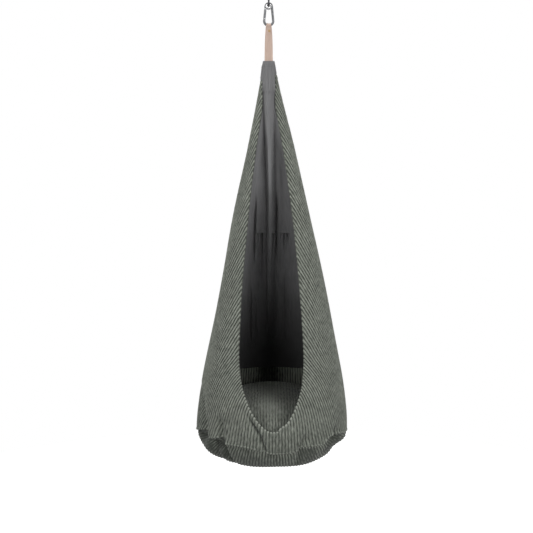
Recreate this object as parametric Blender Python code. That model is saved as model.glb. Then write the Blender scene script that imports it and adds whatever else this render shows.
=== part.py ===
"""Hanging pod swing for one child.

A ceiling eye plate carries a chain link, a snap hook with a round eye, a sewn webbing loop and a
lined corduroy pod with a tall opening at the front. A filled corduroy cushion makes the seat.

Units are metres, +Z is up, and the origin is the centre of the ceiling plate's top face. The
opening faces -Y. Angles round the pod are counted from the front, towards +X.
"""

import math

import bmesh
import bpy
from mathutils import Matrix, Vector

# Clearances
RUNNING_GAP = 0.0003        # between steel pieces that touch
SEAM_GAP = 0.0003           # between cloth edges that are sewn to each other
CLOTH_GAP = 0.0013          # between one layer of cloth and the next, measured on the smooth form

# Ceiling plate, a flat steel bar with round corners and four countersunk screw holes
PLATE_LENGTH = 0.090
PLATE_WIDTH = 0.042
PLATE_THICKNESS = 0.004
PLATE_CORNER = 0.010
SCREW_HOLE = 0.0065
SCREW_SINK = 0.0115
SCREW_SPACING_X = 0.068
SCREW_SPACING_Y = 0.024

# Welded bow under the plate
BOW_WIRE = 0.008
BOW_INSIDE = 0.018          # clear width between its legs
BOW_DROP = 0.031            # from the ceiling to the lowest point of the bow

# Chain link
LINK_WIRE = 0.006
LINK_INSIDE_LENGTH = 0.042
LINK_INSIDE_WIDTH = 0.012

# Snap hook, a pear-shaped spring hook of round bar
HOOK_BAR = 0.008
HOOK_LENGTH = 0.080         # outside, top to bottom
HOOK_NARROW_WIDTH = 0.029   # outside, at the eye
HOOK_WIDE_WIDTH = 0.038     # outside, at the webbing
EYE_SHEET = 0.0012          # sheet of the channel-shaped eye
EYE_WRAP = math.radians(70)  # how far the channel reaches round the bar, each side

# Gate of the snap hook, measured along its arm from where the arm leaves the narrow bend
ARM_TOP_SHOULDER = 0.0035
GATE_PIVOT = 0.0085
GATE_END = 0.0436
ARM_LOW_SHOULDER = 0.0443
LATCH_AT = 0.041
TANG_THICKNESS = 0.003
TANG_HALF_WIDTH = 0.0034
TANG_GAP = 0.0003
NOTCH_WIDTH = 0.0035
TONGUE_TOP = 0.0374
FORK_CLEARANCE = 0.0007     # past the end of the tang or the tongue
PIN_RADIUS = 0.0013
PIN_HOLE_RADIUS = 0.0016
PIN_HEAD_RADIUS = 0.0020
PIN_HEAD_HEIGHT = 0.0006
PIN_HEAD_FLAT = 0.8         # share of the head's radius that is flat
PIN_HEAD_GAP = 0.00005
LATCH_PIN_RADIUS = 0.00125
BORE_RADIUS = 0.0017
BORE_DEPTH = 0.0195
PLUNGER_RADIUS = 0.0014
PLUNGER_LENGTH = 0.0038
SPRING_RADIUS = 0.00115     # to the middle of the wire
SPRING_WIRE = 0.0005
SPRING_TURNS = 9
NOTCH_DEPTH_PAST = 0.0002   # how much deeper than the pin's place the notch is
CUT_PAST = 0.001            # how far a cutter or a joined block reaches past the face it meets

# Webbing loop
WEB_WIDTH = 0.025
WEB_THICKNESS = 0.002
WEB_NECK_WIDTH = 0.019      # where the sewn loop closes under the hook
WEB_NECK_DROP = 0.0156      # from the hook's bar to the row of stitches
WEB_SPREAD = math.radians(50)  # how far the webbing spreads round the wide bend, each side
WEB_BAR_GAP = 0.00035
WEB_WIDENING = 0.25         # share of the way down to the tails over which the webbing grows wide
WEB_LENGTH = 0.1166         # from the middle of the hook's bar to the crown
WEB_TAIL_DEPTH = 0.030      # how far the tails reach into the crown

# Pod. Its wall hangs from the crown to the middle of the bottom's rounding. The form is its outline
# from the front, as shares of the wall's length and of the widest half width
WALL_LENGTH = 1.2377
POD_HALF_WIDTH = 0.2575
CROWN_HALF_WIDTH = 0.0198
WALL_FORM = (
    (0.045, 0.109), (0.109, 0.171), (0.239, 0.313), (0.456, 0.544),
    (0.677, 0.751), (0.855, 0.926), (0.946, 0.988), (1.0, 1.0),
)
BOTTOM_ROUNDING = 0.092     # radius of the turn from wall to bottom
SEAM_ANGLE = math.radians(15)  # where the bottom seam sits on the turn
BOTTOM_SAG = 0.008
CROWN_FLAT_LENGTH = 0.16    # length over which the flat crown grows round
CROWN_SQUARENESS = 3.5
CROWN_SQUARE_LENGTH = 0.02
SIDE_BOW = 0.014            # the hanging cloth leans to +X at half height
SIDE_BOW_LENGTH = 1.75

# Crown collar, the gathered end that holds the webbing
COLLAR_LENGTH = 0.0445
COLLAR_THICKNESS = 0.004
COLLAR_FIT = 0.0004         # to the webbing's tails

# Cloth
CORDUROY = 0.004
LINING = 0.002
BAND_CORDUROY = 0.003

# Front opening, half widths along the cloth
OPENING_ANGLE_LEFT = math.radians(39)
OPENING_ANGLE_RIGHT = math.radians(32)
OPENING_LEFT = 0.121
OPENING_RIGHT = 0.107
OPENING_WIDE_RISE = 0.2952  # above the middle of the rounding, as are the next three
LIP_RISE = 0.0479
OPENING_ROUND_LEFT = 0.6
OPENING_ROUND_RIGHT = 0.5
OPENING_BLEND = 8
HEM_SET_BACK = 0.006        # the lining starts this far behind the hem

# Lining and the corduroy band above the cushion
LINING_SEAM_DROP = 0.5755   # below the crown
BAND_TOP_RISE = 0.1602
UPPER_FOLDS = 9
UPPER_FOLD_DEPTH = 0.055    # as a share of the half width
LOWER_FOLDS = 13
LOWER_FOLD_DEPTH = 0.011
LOWER_FOLD_FADE = 0.40

# Cushion
CUSHION_SEAM_RISE = 0.0302
CUSHION_CROWN = 0.090
CUSHION_TILT = 0.08         # its top rises towards the back
CUSHION_SIDE_POWER = 0.5
CUSHION_CROWN_POWER = 0.8
CUSHION_COVER = 0.003
CUSHION_FIT = 0.0004        # clearance to the band and the floor
FILLING_FIT = 0.0006

# Facets
WALL_COLUMNS = 36
LINING_COLUMNS = 72
WALL_ROWS = 8               # from the crown down to the widest part of the opening
LIP_ROWS = 4                # from there to the lip
ROW_SPACING = 0.012         # no row comes closer than this to an edge
TURN_ROWS = 4               # round the turn of the bottom
CUSHION_ROWS = 8
WEB_ROW_DROPS = (0, 0.10, 0.22, 0.42, 0.70, 1.0)  # rows of the flat webbing, as shares of its length
WEB_COLUMNS = 6
WEB_WRAP_ROWS = 12
SLOPE_STEP = 0.002          # steps in metres and radians by which the direction of the wall is found
WELD = 0.00001

# Creases that the loaded cloth shows above the bottom seam: angle, share of the way up to the lip, depth
CREASES = (
    (math.radians(-54), 0.97, 0.013),
    (math.radians(-37), 0.95, 0.010),
    (math.radians(21), 0.82, 0.007),
    (math.radians(49), 0.95, 0.009),
)
CREASE_HALF_ANGLE = math.radians(9)
CREASE_FADE = math.radians(50)  # they fade under the bottom over this much of the turn


# Clear what a new Blender file starts with
for old in list(bpy.data.objects):
    bpy.data.objects.remove(old, do_unlink=True)


def material(name, colour, roughness, metallic):
    made = bpy.data.materials.new(name)
    made.use_nodes = True
    shader = made.node_tree.nodes["Principled BSDF"]
    shader.inputs["Base Color"].default_value = (*colour, 1)
    shader.inputs["Roughness"].default_value = roughness
    shader.inputs["Metallic"].default_value = metallic
    return made


galvanised = material("galvanised steel", (0.52, 0.53, 0.54), 0.38, 1.0)
bright_steel = material("bright steel", (0.66, 0.66, 0.67), 0.25, 1.0)
dark_steel = material("dark steel", (0.10, 0.10, 0.11), 0.42, 1.0)
webbing_cotton = material("cotton webbing", (0.62, 0.47, 0.36), 0.85, 0.0)
corduroy = material("wide-rib corduroy", (0.125, 0.140, 0.120), 0.90, 0.0)
lining_cotton = material("cotton lining", (0.075, 0.075, 0.078), 0.88, 0.0)
filling_fleece = material("filling fleece", (0.75, 0.74, 0.71), 0.95, 0.0)


def place(obj, finish, at=(0, 0, 0), smooth=math.radians(35)):
    """Put a finished mesh in the scene, with its material and smooth shading."""
    obj.location = at
    bpy.context.collection.objects.link(obj)
    obj.data.materials.append(finish)
    obj.data.shade_smooth()
    obj.data.set_sharp_from_angle(angle=smooth)
    return obj


def object_of(name, bm, finish, at=(0, 0, 0)):
    mesh = bpy.data.meshes.new(name)
    bm.to_mesh(mesh)
    bm.free()
    return place(bpy.data.objects.new(name, mesh), finish, at)


def cutter(name, bm):
    """A shape that only cuts others."""
    mesh = bpy.data.meshes.new(name)
    bm.to_mesh(mesh)
    bm.free()
    obj = bpy.data.objects.new(name, mesh)
    bpy.context.collection.objects.link(obj)
    obj.hide_render = True
    obj.display_type = "WIRE"
    return obj


def cut(obj, tool, operation="DIFFERENCE"):
    change = obj.modifiers.new(tool.name, "BOOLEAN")
    change.operation = operation
    change.solver = "EXACT"
    change.object = tool


def round_bar(radius, length, sides, turn=Matrix.Identity(4), at=(0, 0, 0)):
    """A cylinder along Z, turned and moved."""
    bm = bmesh.new()
    bmesh.ops.create_cone(
        bm, cap_ends=True, segments=sides, radius1=radius, radius2=radius, depth=length
    )
    bmesh.ops.transform(bm, matrix=Matrix.Translation(at) @ turn, verts=bm.verts)
    return bm


def block(size, turn=Matrix.Identity(4), at=(0, 0, 0)):
    bm = bmesh.new()
    bmesh.ops.create_cube(bm, size=1)
    bmesh.ops.scale(bm, vec=size, verts=bm.verts)
    bmesh.ops.transform(bm, matrix=Matrix.Translation(at) @ turn, verts=bm.verts)
    return bm


def bent_bar(name, points, radius, roundness, closed, finish, at=(0, 0, 0)):
    """Round bar along a path: a curve with a bevel, made a mesh so that it can be cut."""
    curve = bpy.data.curves.new(name, "CURVE")
    curve.dimensions = "3D"
    curve.bevel_depth = radius
    curve.bevel_resolution = roundness
    curve.use_fill_caps = True
    spline = curve.splines.new("POLY")
    spline.points.add(len(points) - 1)
    for knot, point in zip(spline.points, points):
        knot.co = (*point, 1)
    spline.use_cyclic_u = closed
    guide = bpy.data.objects.new(name + " path", curve)
    mesh = bpy.data.meshes.new_from_object(guide)
    mesh.name = name
    bpy.data.objects.remove(guide)
    bpy.data.curves.remove(curve)
    bm = bmesh.new()
    bm.from_mesh(mesh)
    bmesh.ops.remove_doubles(bm, verts=bm.verts, dist=WELD)
    bmesh.ops.recalc_face_normals(bm, faces=bm.faces)
    bm.to_mesh(mesh)
    bm.free()
    return place(bpy.data.objects.new(name, mesh), finish, at)


def arc(radius, start, end, steps, centre=(0, 0)):
    """Points of an arc in a plane, angles from the first axis."""
    turns = [start + (end - start) * i / steps for i in range(steps + 1)]
    return [(centre[0] + radius * math.cos(a), centre[1] + radius * math.sin(a)) for a in turns]


# Heights down the chain, each from the piece above
bow_inside_z = -BOW_DROP + BOW_WIRE
bow_bar_z = -BOW_DROP + BOW_WIRE / 2
link_top_z = bow_inside_z + RUNNING_GAP
link_bottom_z = link_top_z - LINK_INSIDE_LENGTH
link_wire_z = link_bottom_z - LINK_WIRE / 2
narrow_radius = HOOK_NARROW_WIDTH / 2 - HOOK_BAR / 2
wide_radius = HOOK_WIDE_WIDTH / 2 - HOOK_BAR / 2
eye_groove = HOOK_BAR / 2 + RUNNING_GAP
eye_hole = narrow_radius - eye_groove - EYE_SHEET
eye_z = link_bottom_z + RUNNING_GAP - eye_hole
hook_top_z = eye_z + narrow_radius + HOOK_BAR / 2
wide_z = hook_top_z - HOOK_LENGTH + HOOK_BAR / 2 + wide_radius
hook_bar_z = wide_z - wide_radius
crown_z = hook_bar_z - WEB_LENGTH
rounding_z = crown_z - WALL_LENGTH
seam_z = rounding_z - BOTTOM_ROUNDING * math.sin(SEAM_ANGLE)
lip_z = rounding_z + LIP_RISE
opening_wide_z = rounding_z + OPENING_WIDE_RISE
band_top_z = rounding_z + BAND_TOP_RISE
cushion_seam_z = rounding_z + CUSHION_SEAM_RISE
lining_seam_z = crown_z - LINING_SEAM_DROP


# Ceiling plate

def ceiling_plate():
    bm = bmesh.new()
    half_x, half_y = PLATE_LENGTH / 2 - PLATE_CORNER, PLATE_WIDTH / 2 - PLATE_CORNER
    corners = ((half_x, half_y, 0), (-half_x, half_y, 90), (-half_x, -half_y, 180), (half_x, -half_y, 270))
    outline = []
    for x, y, turn in corners:
        outline += arc(PLATE_CORNER, math.radians(turn), math.radians(turn + 90), 4, (x, y))
    face = bm.faces.new([bm.verts.new((x, y, 0)) for x, y in outline])
    wall = bmesh.ops.extrude_face_region(bm, geom=[face])
    lower = [v for v in wall["geom"] if isinstance(v, bmesh.types.BMVert)]
    bmesh.ops.translate(bm, verts=lower, vec=(0, 0, -PLATE_THICKNESS))
    bmesh.ops.recalc_face_normals(bm, faces=bm.faces)
    plate = object_of("ceiling_plate", bm, galvanised)
    for sx in (-1, 1):
        for sy in (-1, 1):
            bm = bmesh.new()
            bmesh.ops.create_cone(
                bm, cap_ends=True, segments=16, depth=PLATE_THICKNESS * 1.5,
                radius1=SCREW_SINK / 2, radius2=SCREW_HOLE / 2 * 0.6,
            )
            bmesh.ops.translate(bm, verts=bm.verts, vec=(sx * SCREW_SPACING_X / 2,
                                                         sy * SCREW_SPACING_Y / 2,
                                                         -PLATE_THICKNESS * 0.6))
            cut(plate, cutter(f"screw hole {sx} {sy}", bm))


ceiling_plate()


# Bow, bent from round bar and welded under the plate

def ceiling_bow():
    radius = BOW_INSIDE / 2 + BOW_WIRE / 2
    centre_z = bow_bar_z + radius
    path = [(-radius, 0, -PLATE_THICKNESS - RUNNING_GAP)]
    path += [(x, 0, z) for x, z in arc(radius, math.pi, 2 * math.pi, 14, (0, centre_z))]
    path += [(radius, 0, -PLATE_THICKNESS - RUNNING_GAP)]
    bent_bar("ceiling_bow", path, BOW_WIRE / 2, 4, False, galvanised)


ceiling_bow()


# Chain link, origin on the axis that it swings about

def chain_link():
    radius = LINK_INSIDE_WIDTH / 2 + LINK_WIRE / 2
    top = link_top_z - LINK_INSIDE_WIDTH / 2 - bow_bar_z
    low = link_bottom_z + LINK_INSIDE_WIDTH / 2 - bow_bar_z
    path = [(0, y, z) for y, z in arc(radius, 0, math.pi, 12, (0, top))]
    path += [(0, y, z) for y, z in arc(radius, math.pi, 2 * math.pi, 12, (0, low))]
    bent_bar("chain_link", path, LINK_WIRE / 2, 4, True, dark_steel, (0, 0, bow_bar_z))


chain_link()


# Snap hook. Its body and gate are placed from the axis of the link's lower wire

arm_slope = math.asin((wide_radius - narrow_radius) / (eye_z - wide_z))
arm_out = Vector((-math.cos(arm_slope), 0, math.sin(arm_slope)))
arm_down = Vector((-math.sin(arm_slope), 0, -math.cos(arm_slope)))
arm_start = Vector((0, 0, eye_z)) + narrow_radius * arm_out
arm_turn = Matrix.Rotation(arm_slope, 4, "Y")
across = Matrix.Rotation(math.radians(90), 4, "X")
hook_origin = Vector((0, 0, link_wire_z))


def on_arm(distance, out=0.0):
    """A point on the gate arm, that far down it, and out from its axis."""
    return arm_start + distance * arm_down + out * arm_out


def hook_body():
    """Pear-shaped ring with its left arm cut away, and a tang and a notched tongue left for the gate."""
    turn = math.pi / 2 + (math.pi / 2 - arm_slope)
    path = arc(narrow_radius, math.pi - turn, turn, 14, (0, eye_z))
    path += arc(wide_radius, turn, 3 * math.pi - turn, 16, (0, wide_z))
    path = [(x, 0, z - hook_origin.z) for x, z in path]
    body = bent_bar("carabiner_body", path, HOOK_BAR / 2, 5, True, galvanised, hook_origin)

    gap = ARM_LOW_SHOULDER - ARM_TOP_SHOULDER
    middle = on_arm((ARM_LOW_SHOULDER + ARM_TOP_SHOULDER) / 2)
    cut(body, cutter("gate gap", block((HOOK_BAR * 1.5, HOOK_BAR * 1.5, gap), arm_turn, middle)))

    reach = GATE_PIVOT + TANG_HALF_WIDTH - ARM_TOP_SHOULDER
    tang = block((TANG_HALF_WIDTH * 2, TANG_THICKNESS, GATE_PIVOT - ARM_TOP_SHOULDER + CUT_PAST), arm_turn,
                 on_arm((GATE_PIVOT + ARM_TOP_SHOULDER - CUT_PAST) / 2))
    cut(body, cutter("tang", tang), "UNION")
    knuckle = round_bar(reach - GATE_PIVOT + ARM_TOP_SHOULDER, TANG_THICKNESS, 20,
                        arm_turn @ across, on_arm(GATE_PIVOT))
    cut(body, cutter("tang end", knuckle), "UNION")
    cut(body, cutter("tang bore", round_bar(PIN_HOLE_RADIUS, HOOK_BAR * 2, 16, arm_turn @ across,
                                            on_arm(GATE_PIVOT))))

    tongue = block((TANG_HALF_WIDTH * 2, TANG_THICKNESS, ARM_LOW_SHOULDER - TONGUE_TOP + CUT_PAST), arm_turn,
                   on_arm((ARM_LOW_SHOULDER + TONGUE_TOP + CUT_PAST) / 2))
    cut(body, cutter("tongue", tongue), "UNION")
    notch = block((TANG_HALF_WIDTH + NOTCH_WIDTH / 2, HOOK_BAR, NOTCH_WIDTH), arm_turn,
                  on_arm(LATCH_AT, -TANG_HALF_WIDTH / 2 + NOTCH_WIDTH / 4 - NOTCH_DEPTH_PAST))
    cut(body, cutter("latch notch", notch))


hook_body()


def hook_eye():
    """Channel of bent sheet, turned into a ring that keeps the link in the narrow end."""
    bm = bmesh.new()
    steps = 8
    profile = []
    for radius, order in ((eye_groove + EYE_SHEET, 1), (eye_groove, -1)):
        for i in range(steps + 1)[::order]:
            a = -EYE_WRAP + 2 * EYE_WRAP * i / steps
            profile.append(bm.verts.new((0, radius * math.sin(a), narrow_radius - radius * math.cos(a))))
    face = bm.faces.new(profile)
    bmesh.ops.spin(
        bm, geom=[face], cent=(0, 0, 0), axis=(0, 1, 0), angle=2 * math.pi, steps=28,
        use_merge=True, use_duplicate=False,
    )
    bmesh.ops.remove_doubles(bm, verts=bm.verts, dist=WELD)
    inside = [f for f in bm.faces if len(f.verts) > 4]
    bmesh.ops.delete(bm, geom=inside, context="FACES_ONLY")
    bmesh.ops.recalc_face_normals(bm, faces=bm.faces)
    object_of("carabiner_eye", bm, bright_steel, (0, 0, eye_z))


hook_eye()


# Gate, origin on its hinge pin

def hook_gate():
    """Round bar with a ball end, forked at both ends, bored for its spring."""
    pivot = on_arm(GATE_PIVOT)
    bm = bmesh.new()
    length = GATE_END - GATE_PIVOT
    bmesh.ops.create_uvsphere(bm, u_segments=14, v_segments=8, radius=HOOK_BAR / 2)
    low = [v for v in bm.verts if v.co.z < -WELD]
    bmesh.ops.delete(bm, geom=low, context="VERTS")
    rim = [e for e in bm.edges if e.is_boundary]
    tube = bmesh.ops.extrude_edge_only(bm, edges=rim)
    lower = [v for v in tube["geom"] if isinstance(v, bmesh.types.BMVert)]
    bmesh.ops.translate(bm, verts=lower, vec=(0, 0, -length))
    bmesh.ops.contextual_create(bm, geom=lower + [e for e in bm.edges if e.is_boundary])
    bmesh.ops.recalc_face_normals(bm, faces=bm.faces)
    bmesh.ops.transform(bm, matrix=arm_turn, verts=bm.verts)
    gate = object_of("carabiner_gate", bm, galvanised, pivot)

    slot = TANG_THICKNESS + 2 * TANG_GAP
    top_end = GATE_PIVOT + TANG_HALF_WIDTH + FORK_CLEARANCE
    top = GATE_PIVOT - HOOK_BAR
    cut(gate, cutter("hinge fork", block((HOOK_BAR * 2, slot, top_end - top), arm_turn,
                                         on_arm((top + top_end) / 2))))
    low_end = TONGUE_TOP - FORK_CLEARANCE
    cut(gate, cutter("latch fork", block((HOOK_BAR * 2, slot, GATE_END + CUT_PAST - low_end), arm_turn,
                                         on_arm((low_end + GATE_END + CUT_PAST) / 2))))
    bore = round_bar(BORE_RADIUS, BORE_DEPTH + CUT_PAST, 14, arm_turn,
                     on_arm(top_end + (BORE_DEPTH - CUT_PAST) / 2))
    cut(gate, cutter("spring bore", bore))
    for name, at in (("hinge pin hole", pivot), ("latch pin hole", on_arm(LATCH_AT))):
        cut(gate, cutter(name, round_bar(PIN_HOLE_RADIUS, HOOK_BAR * 2, 16, arm_turn @ across, at)))


hook_gate()


def hinge_pin():
    """Rivet through the fork and the tang, with a flat head on each side."""
    reach = HOOK_BAR / 2 + PIN_HEAD_GAP
    half = [(0.0, reach + PIN_HEAD_HEIGHT), (PIN_HEAD_RADIUS * PIN_HEAD_FLAT, reach + PIN_HEAD_HEIGHT),
            (PIN_HEAD_RADIUS, reach + PIN_HEAD_HEIGHT / 2), (PIN_HEAD_RADIUS, reach), (PIN_RADIUS, reach)]
    profile = half + [(r, -y) for r, y in half[::-1]]
    bm = bmesh.new()
    knots = [bm.verts.new((r, y, 0)) for r, y in profile]
    edges = [bm.edges.new(pair) for pair in zip(knots, knots[1:])]
    bmesh.ops.spin(bm, geom=edges + knots, cent=(0, 0, 0), axis=(0, 1, 0), angle=2 * math.pi, steps=16,
                   use_merge=True)
    bmesh.ops.remove_doubles(bm, verts=bm.verts, dist=WELD)
    bmesh.ops.recalc_face_normals(bm, faces=bm.faces)
    object_of("gate_hinge_pin", bm, bright_steel, on_arm(GATE_PIVOT))


hinge_pin()
latch_length = 2 * math.sqrt((HOOK_BAR / 2) ** 2 - PIN_HOLE_RADIUS**2)
object_of("gate_latch_pin", round_bar(LATCH_PIN_RADIUS, latch_length, 16, arm_turn @ across), bright_steel,
          on_arm(LATCH_AT))

plunger_top = GATE_PIVOT + TANG_HALF_WIDTH + RUNNING_GAP
object_of("spring_plunger", round_bar(PLUNGER_RADIUS, PLUNGER_LENGTH, 12, arm_turn), bright_steel,
          on_arm(plunger_top + PLUNGER_LENGTH / 2))


def gate_spring():
    """Closing spring in the gate's bore, between the plunger and the bottom of the bore."""
    bore_end = GATE_PIVOT + TANG_HALF_WIDTH + FORK_CLEARANCE + BORE_DEPTH
    start = plunger_top + PLUNGER_LENGTH + RUNNING_GAP + SPRING_WIRE / 2
    length = bore_end - RUNNING_GAP - SPRING_WIRE / 2 - start
    steps = SPRING_TURNS * 8
    points = []
    for i in range(steps + 1):
        a = 2 * math.pi * SPRING_TURNS * i / steps
        flat = SPRING_RADIUS * (math.cos(a) * arm_out + math.sin(a) * Vector((0, 1, 0)))
        points.append(flat + (length * i / steps) * arm_down)
    bent_bar("gate_spring", points, SPRING_WIRE / 2, 0, False, dark_steel, on_arm(start))


gate_spring()


# Webbing loop

def webbing_loop():
    """One strap, folded over the hook's bar and sewn to itself under it, its two tails in the crown."""
    wrap_radius = HOOK_BAR / 2 + WEB_BAR_GAP + WEB_THICKNESS / 2
    layer_y = WEB_THICKNESS / 2 + SEAM_GAP / 2
    neck_angle = math.atan2(layer_y, WEB_NECK_DROP)
    neck_distance = math.hypot(layer_y, WEB_NECK_DROP)
    leave = neck_angle + math.acos(wrap_radius / neck_distance)
    tail_z = crown_z - WEB_TAIL_DEPTH
    neck_z = hook_bar_z - WEB_NECK_DROP

    def saddle(share, turn, offset):
        """On the wrap: turn is counted from straight down, offset outwards from the strap's middle."""
        spread = share * WEB_SPREAD
        centre = Vector((wide_radius * math.sin(spread), 0, wide_z - wide_radius * math.cos(spread)))
        inward = Vector((-math.sin(spread), 0, math.cos(spread)))
        radius = wrap_radius + offset
        return centre - math.cos(turn) * radius * inward - Vector((0, math.sin(turn) * radius, 0))

    def flat(share, drop, side, offset):
        """On the two straight layers, from the neck down."""
        wide = WEB_NECK_WIDTH + (WEB_WIDTH - WEB_NECK_WIDTH) * min(1, drop / WEB_WIDENING)
        return Vector((share * wide / 2, side * (layer_y + offset), neck_z + drop * (tail_z - neck_z)))

    rows = [("flat", d, -1) for d in WEB_ROW_DROPS[::-1]]
    wrap_step = (2 * math.pi - 2 * leave) / WEB_WRAP_ROWS
    rows += [("wrap", leave + wrap_step * i, 0) for i in range(WEB_WRAP_ROWS + 1)]
    rows += [("flat", d, 1) for d in WEB_ROW_DROPS]

    bm = bmesh.new()
    layers = []
    for offset in (WEB_THICKNESS / 2, -WEB_THICKNESS / 2):
        grid = []
        for kind, value, side in rows:
            shares = [-1 + 2 * i / WEB_COLUMNS for i in range(WEB_COLUMNS + 1)]
            if kind == "flat":
                grid.append([bm.verts.new(flat(s, value, side, offset)) for s in shares])
            else:
                grid.append([bm.verts.new(saddle(s, value, offset)) for s in shares])
        layers.append(grid)
    join_layers(bm, layers, False)
    bmesh.ops.recalc_face_normals(bm, faces=bm.faces)
    object_of("webbing_loop", bm, webbing_cotton)


def skin(bm, rows, closed, order=1):
    """One layer of faces through rows of points. The two halves are split along opposite diagonals, so
    that layers lie well in each other."""
    for a, b in zip(rows, rows[1:]):
        count = len(a) if closed else len(a) - 1
        for j in range(count):
            k = (j + 1) % len(a)
            halves = (a[j], b[j], b[k]), (a[j], b[k], a[k])
            if j >= count / 2:
                halves = (a[j], b[j], a[k]), (b[j], b[k], a[k])
            for corners in halves:
                bm.faces.new(corners[::order])


def join_layers(bm, layers, closed):
    """Outer and inner faces of a cloth, and its edges. closed rows run right round."""
    outer, inner = layers
    skin(bm, outer, closed)
    skin(bm, inner, closed, -1)
    for i, order in ((0, -1), (-1, 1)):
        count = len(outer[i]) if closed else len(outer[i]) - 1
        for j in range(count):
            k = (j + 1) % len(outer[i])
            bm.faces.new([outer[i][j], inner[i][j], inner[i][k], outer[i][k]][::order])
    for i in range(0 if closed else len(outer) - 1):
        if outer[i][0] is outer[i][-1] and outer[i + 1][0] is outer[i + 1][-1]:
            continue
        for j, order in ((0, 1), (-1, -1)):
            bm.faces.new([outer[i][j], inner[i][j], inner[i + 1][j], outer[i + 1][j]][::order])


webbing_loop()


# Pod form

wall_knots = [(crown_z, CROWN_HALF_WIDTH)]
wall_knots += [(crown_z - drop * WALL_LENGTH, share * POD_HALF_WIDTH) for drop, share in WALL_FORM]


def wall_half_width(z):
    """Half width at a height: a smooth curve through the form's knots, then the rounding of the bottom."""
    if z <= rounding_z:
        return POD_HALF_WIDTH - BOTTOM_ROUNDING + math.sqrt(BOTTOM_ROUNDING**2 - (z - rounding_z) ** 2)
    knots = wall_knots
    i = 0
    while i < len(knots) - 2 and z < knots[i + 1][0]:
        i += 1
    (z0, r0), (z1, r1) = knots[i], knots[i + 1]

    def slope(k):
        if k == 0:
            return (knots[1][1] - knots[0][1]) / (knots[1][0] - knots[0][0])
        if k == len(knots) - 1:
            return 0.0
        return (knots[k + 1][1] - knots[k - 1][1]) / (knots[k + 1][0] - knots[k - 1][0])

    span = z1 - z0
    t = (z - z0) / span
    return ((2 * t**3 - 3 * t**2 + 1) * r0 + (t**3 - 2 * t**2 + t) * span * slope(i)
            + (3 * t**2 - 2 * t**3) * r1 + (t**3 - t**2) * span * slope(i + 1))


turn_radius = POD_HALF_WIDTH - BOTTOM_ROUNDING
crown_half_depth = WEB_THICKNESS + SEAM_GAP / 2 + COLLAR_FIT + COLLAR_THICKNESS
crown_flatness = 1 - crown_half_depth / CROWN_HALF_WIDTH


def lean(z):
    """How far the middle of the pod lies to +X at a height."""
    return SIDE_BOW * math.sin(math.pi * min(max(crown_z - z, 0), SIDE_BOW_LENGTH) / SIDE_BOW_LENGTH)


def crease(angle, z):
    """Depth of the creases that run up from the bottom seam."""
    depth = 0.0
    for at, reach, deep in CREASES:
        off = abs((angle - at + math.pi) % (2 * math.pi) - math.pi) / CREASE_HALF_ANGLE
        up = max(0.0, 1 - max(0.0, z - seam_z) / (reach * (lip_z - seam_z)))
        depth += deep * max(0.0, 1 - off) * up
    return depth


def wall_surface(angle, z):
    below = max(crown_z - z, 0)
    depth = 1 - crown_flatness * math.exp(-below / CROWN_FLAT_LENGTH)
    power = 2 / (2 + CROWN_SQUARENESS * math.exp(-below / CROWN_SQUARE_LENGTH))
    half = wall_half_width(z)
    s, c = math.sin(angle), math.cos(angle)
    x = math.copysign(abs(s) ** power, s) * half
    y = math.copysign(abs(c) ** power, c) * half * depth
    return Vector((lean(z) + x, -y, z))


def wall_point(angle, z, inset):
    """A point that far inside the wall's outer surface, square to it, with the creases pressed in."""
    along = wall_surface(angle + SLOPE_STEP, z) - wall_surface(angle - SLOPE_STEP, z)
    down = wall_surface(angle, z - SLOPE_STEP) - wall_surface(angle, z + SLOPE_STEP)
    return wall_surface(angle, z) - (inset + crease(angle, z)) * down.cross(along).normalized()


def bottom_point(angle, turn, share, inset):
    """On the bottom: turn round the rounding, then share of the way in to the middle."""
    fade = max(0.0, 1 - (turn - SEAM_ANGLE) / CREASE_FADE)
    rounding = BOTTOM_ROUNDING - inset - crease(angle, seam_z) * fade
    radius = (turn_radius + rounding * math.cos(turn)) * (1 - share)
    z = rounding_z - rounding * math.sin(turn) - BOTTOM_SAG * share * (2 - share)
    return Vector((lean(seam_z) + radius * math.sin(angle), -radius * math.cos(angle), z))


def opening_angle(z, side):
    """Angle from the front to the opening's edge, 0 at the lip and below."""
    if z <= lip_z:
        return 0.0
    left = side == "left"
    limit = OPENING_LEFT if left else OPENING_RIGHT
    power = OPENING_ROUND_LEFT if left else OPENING_ROUND_RIGHT
    if z < opening_wide_z:
        limit *= (1 - ((opening_wide_z - z) / (opening_wide_z - lip_z)) ** 2) ** power
    half = wall_half_width(z)
    arc_wide = (OPENING_ANGLE_LEFT if left else OPENING_ANGLE_RIGHT) * half
    n = OPENING_BLEND
    return (arc_wide**-n + limit**-n) ** (-1 / n) / half


def wall_rows(top, low):
    """Heights of the rows between two edges, close together where the opening turns into the lip."""
    start = crown_z - COLLAR_LENGTH
    heights = [start + (opening_wide_z - start) * i / WALL_ROWS for i in range(WALL_ROWS + 1)]
    shares = [math.sin(math.pi / 2 * i / (LIP_ROWS + 1)) for i in range(1, LIP_ROWS + 1)]
    heights += [opening_wide_z + (lip_z - opening_wide_z) * share for share in shares]
    heights += [lip_z, cushion_seam_z, rounding_z]
    return [top] + [z for z in heights if low + ROW_SPACING < z < top - ROW_SPACING] + [low]


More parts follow.
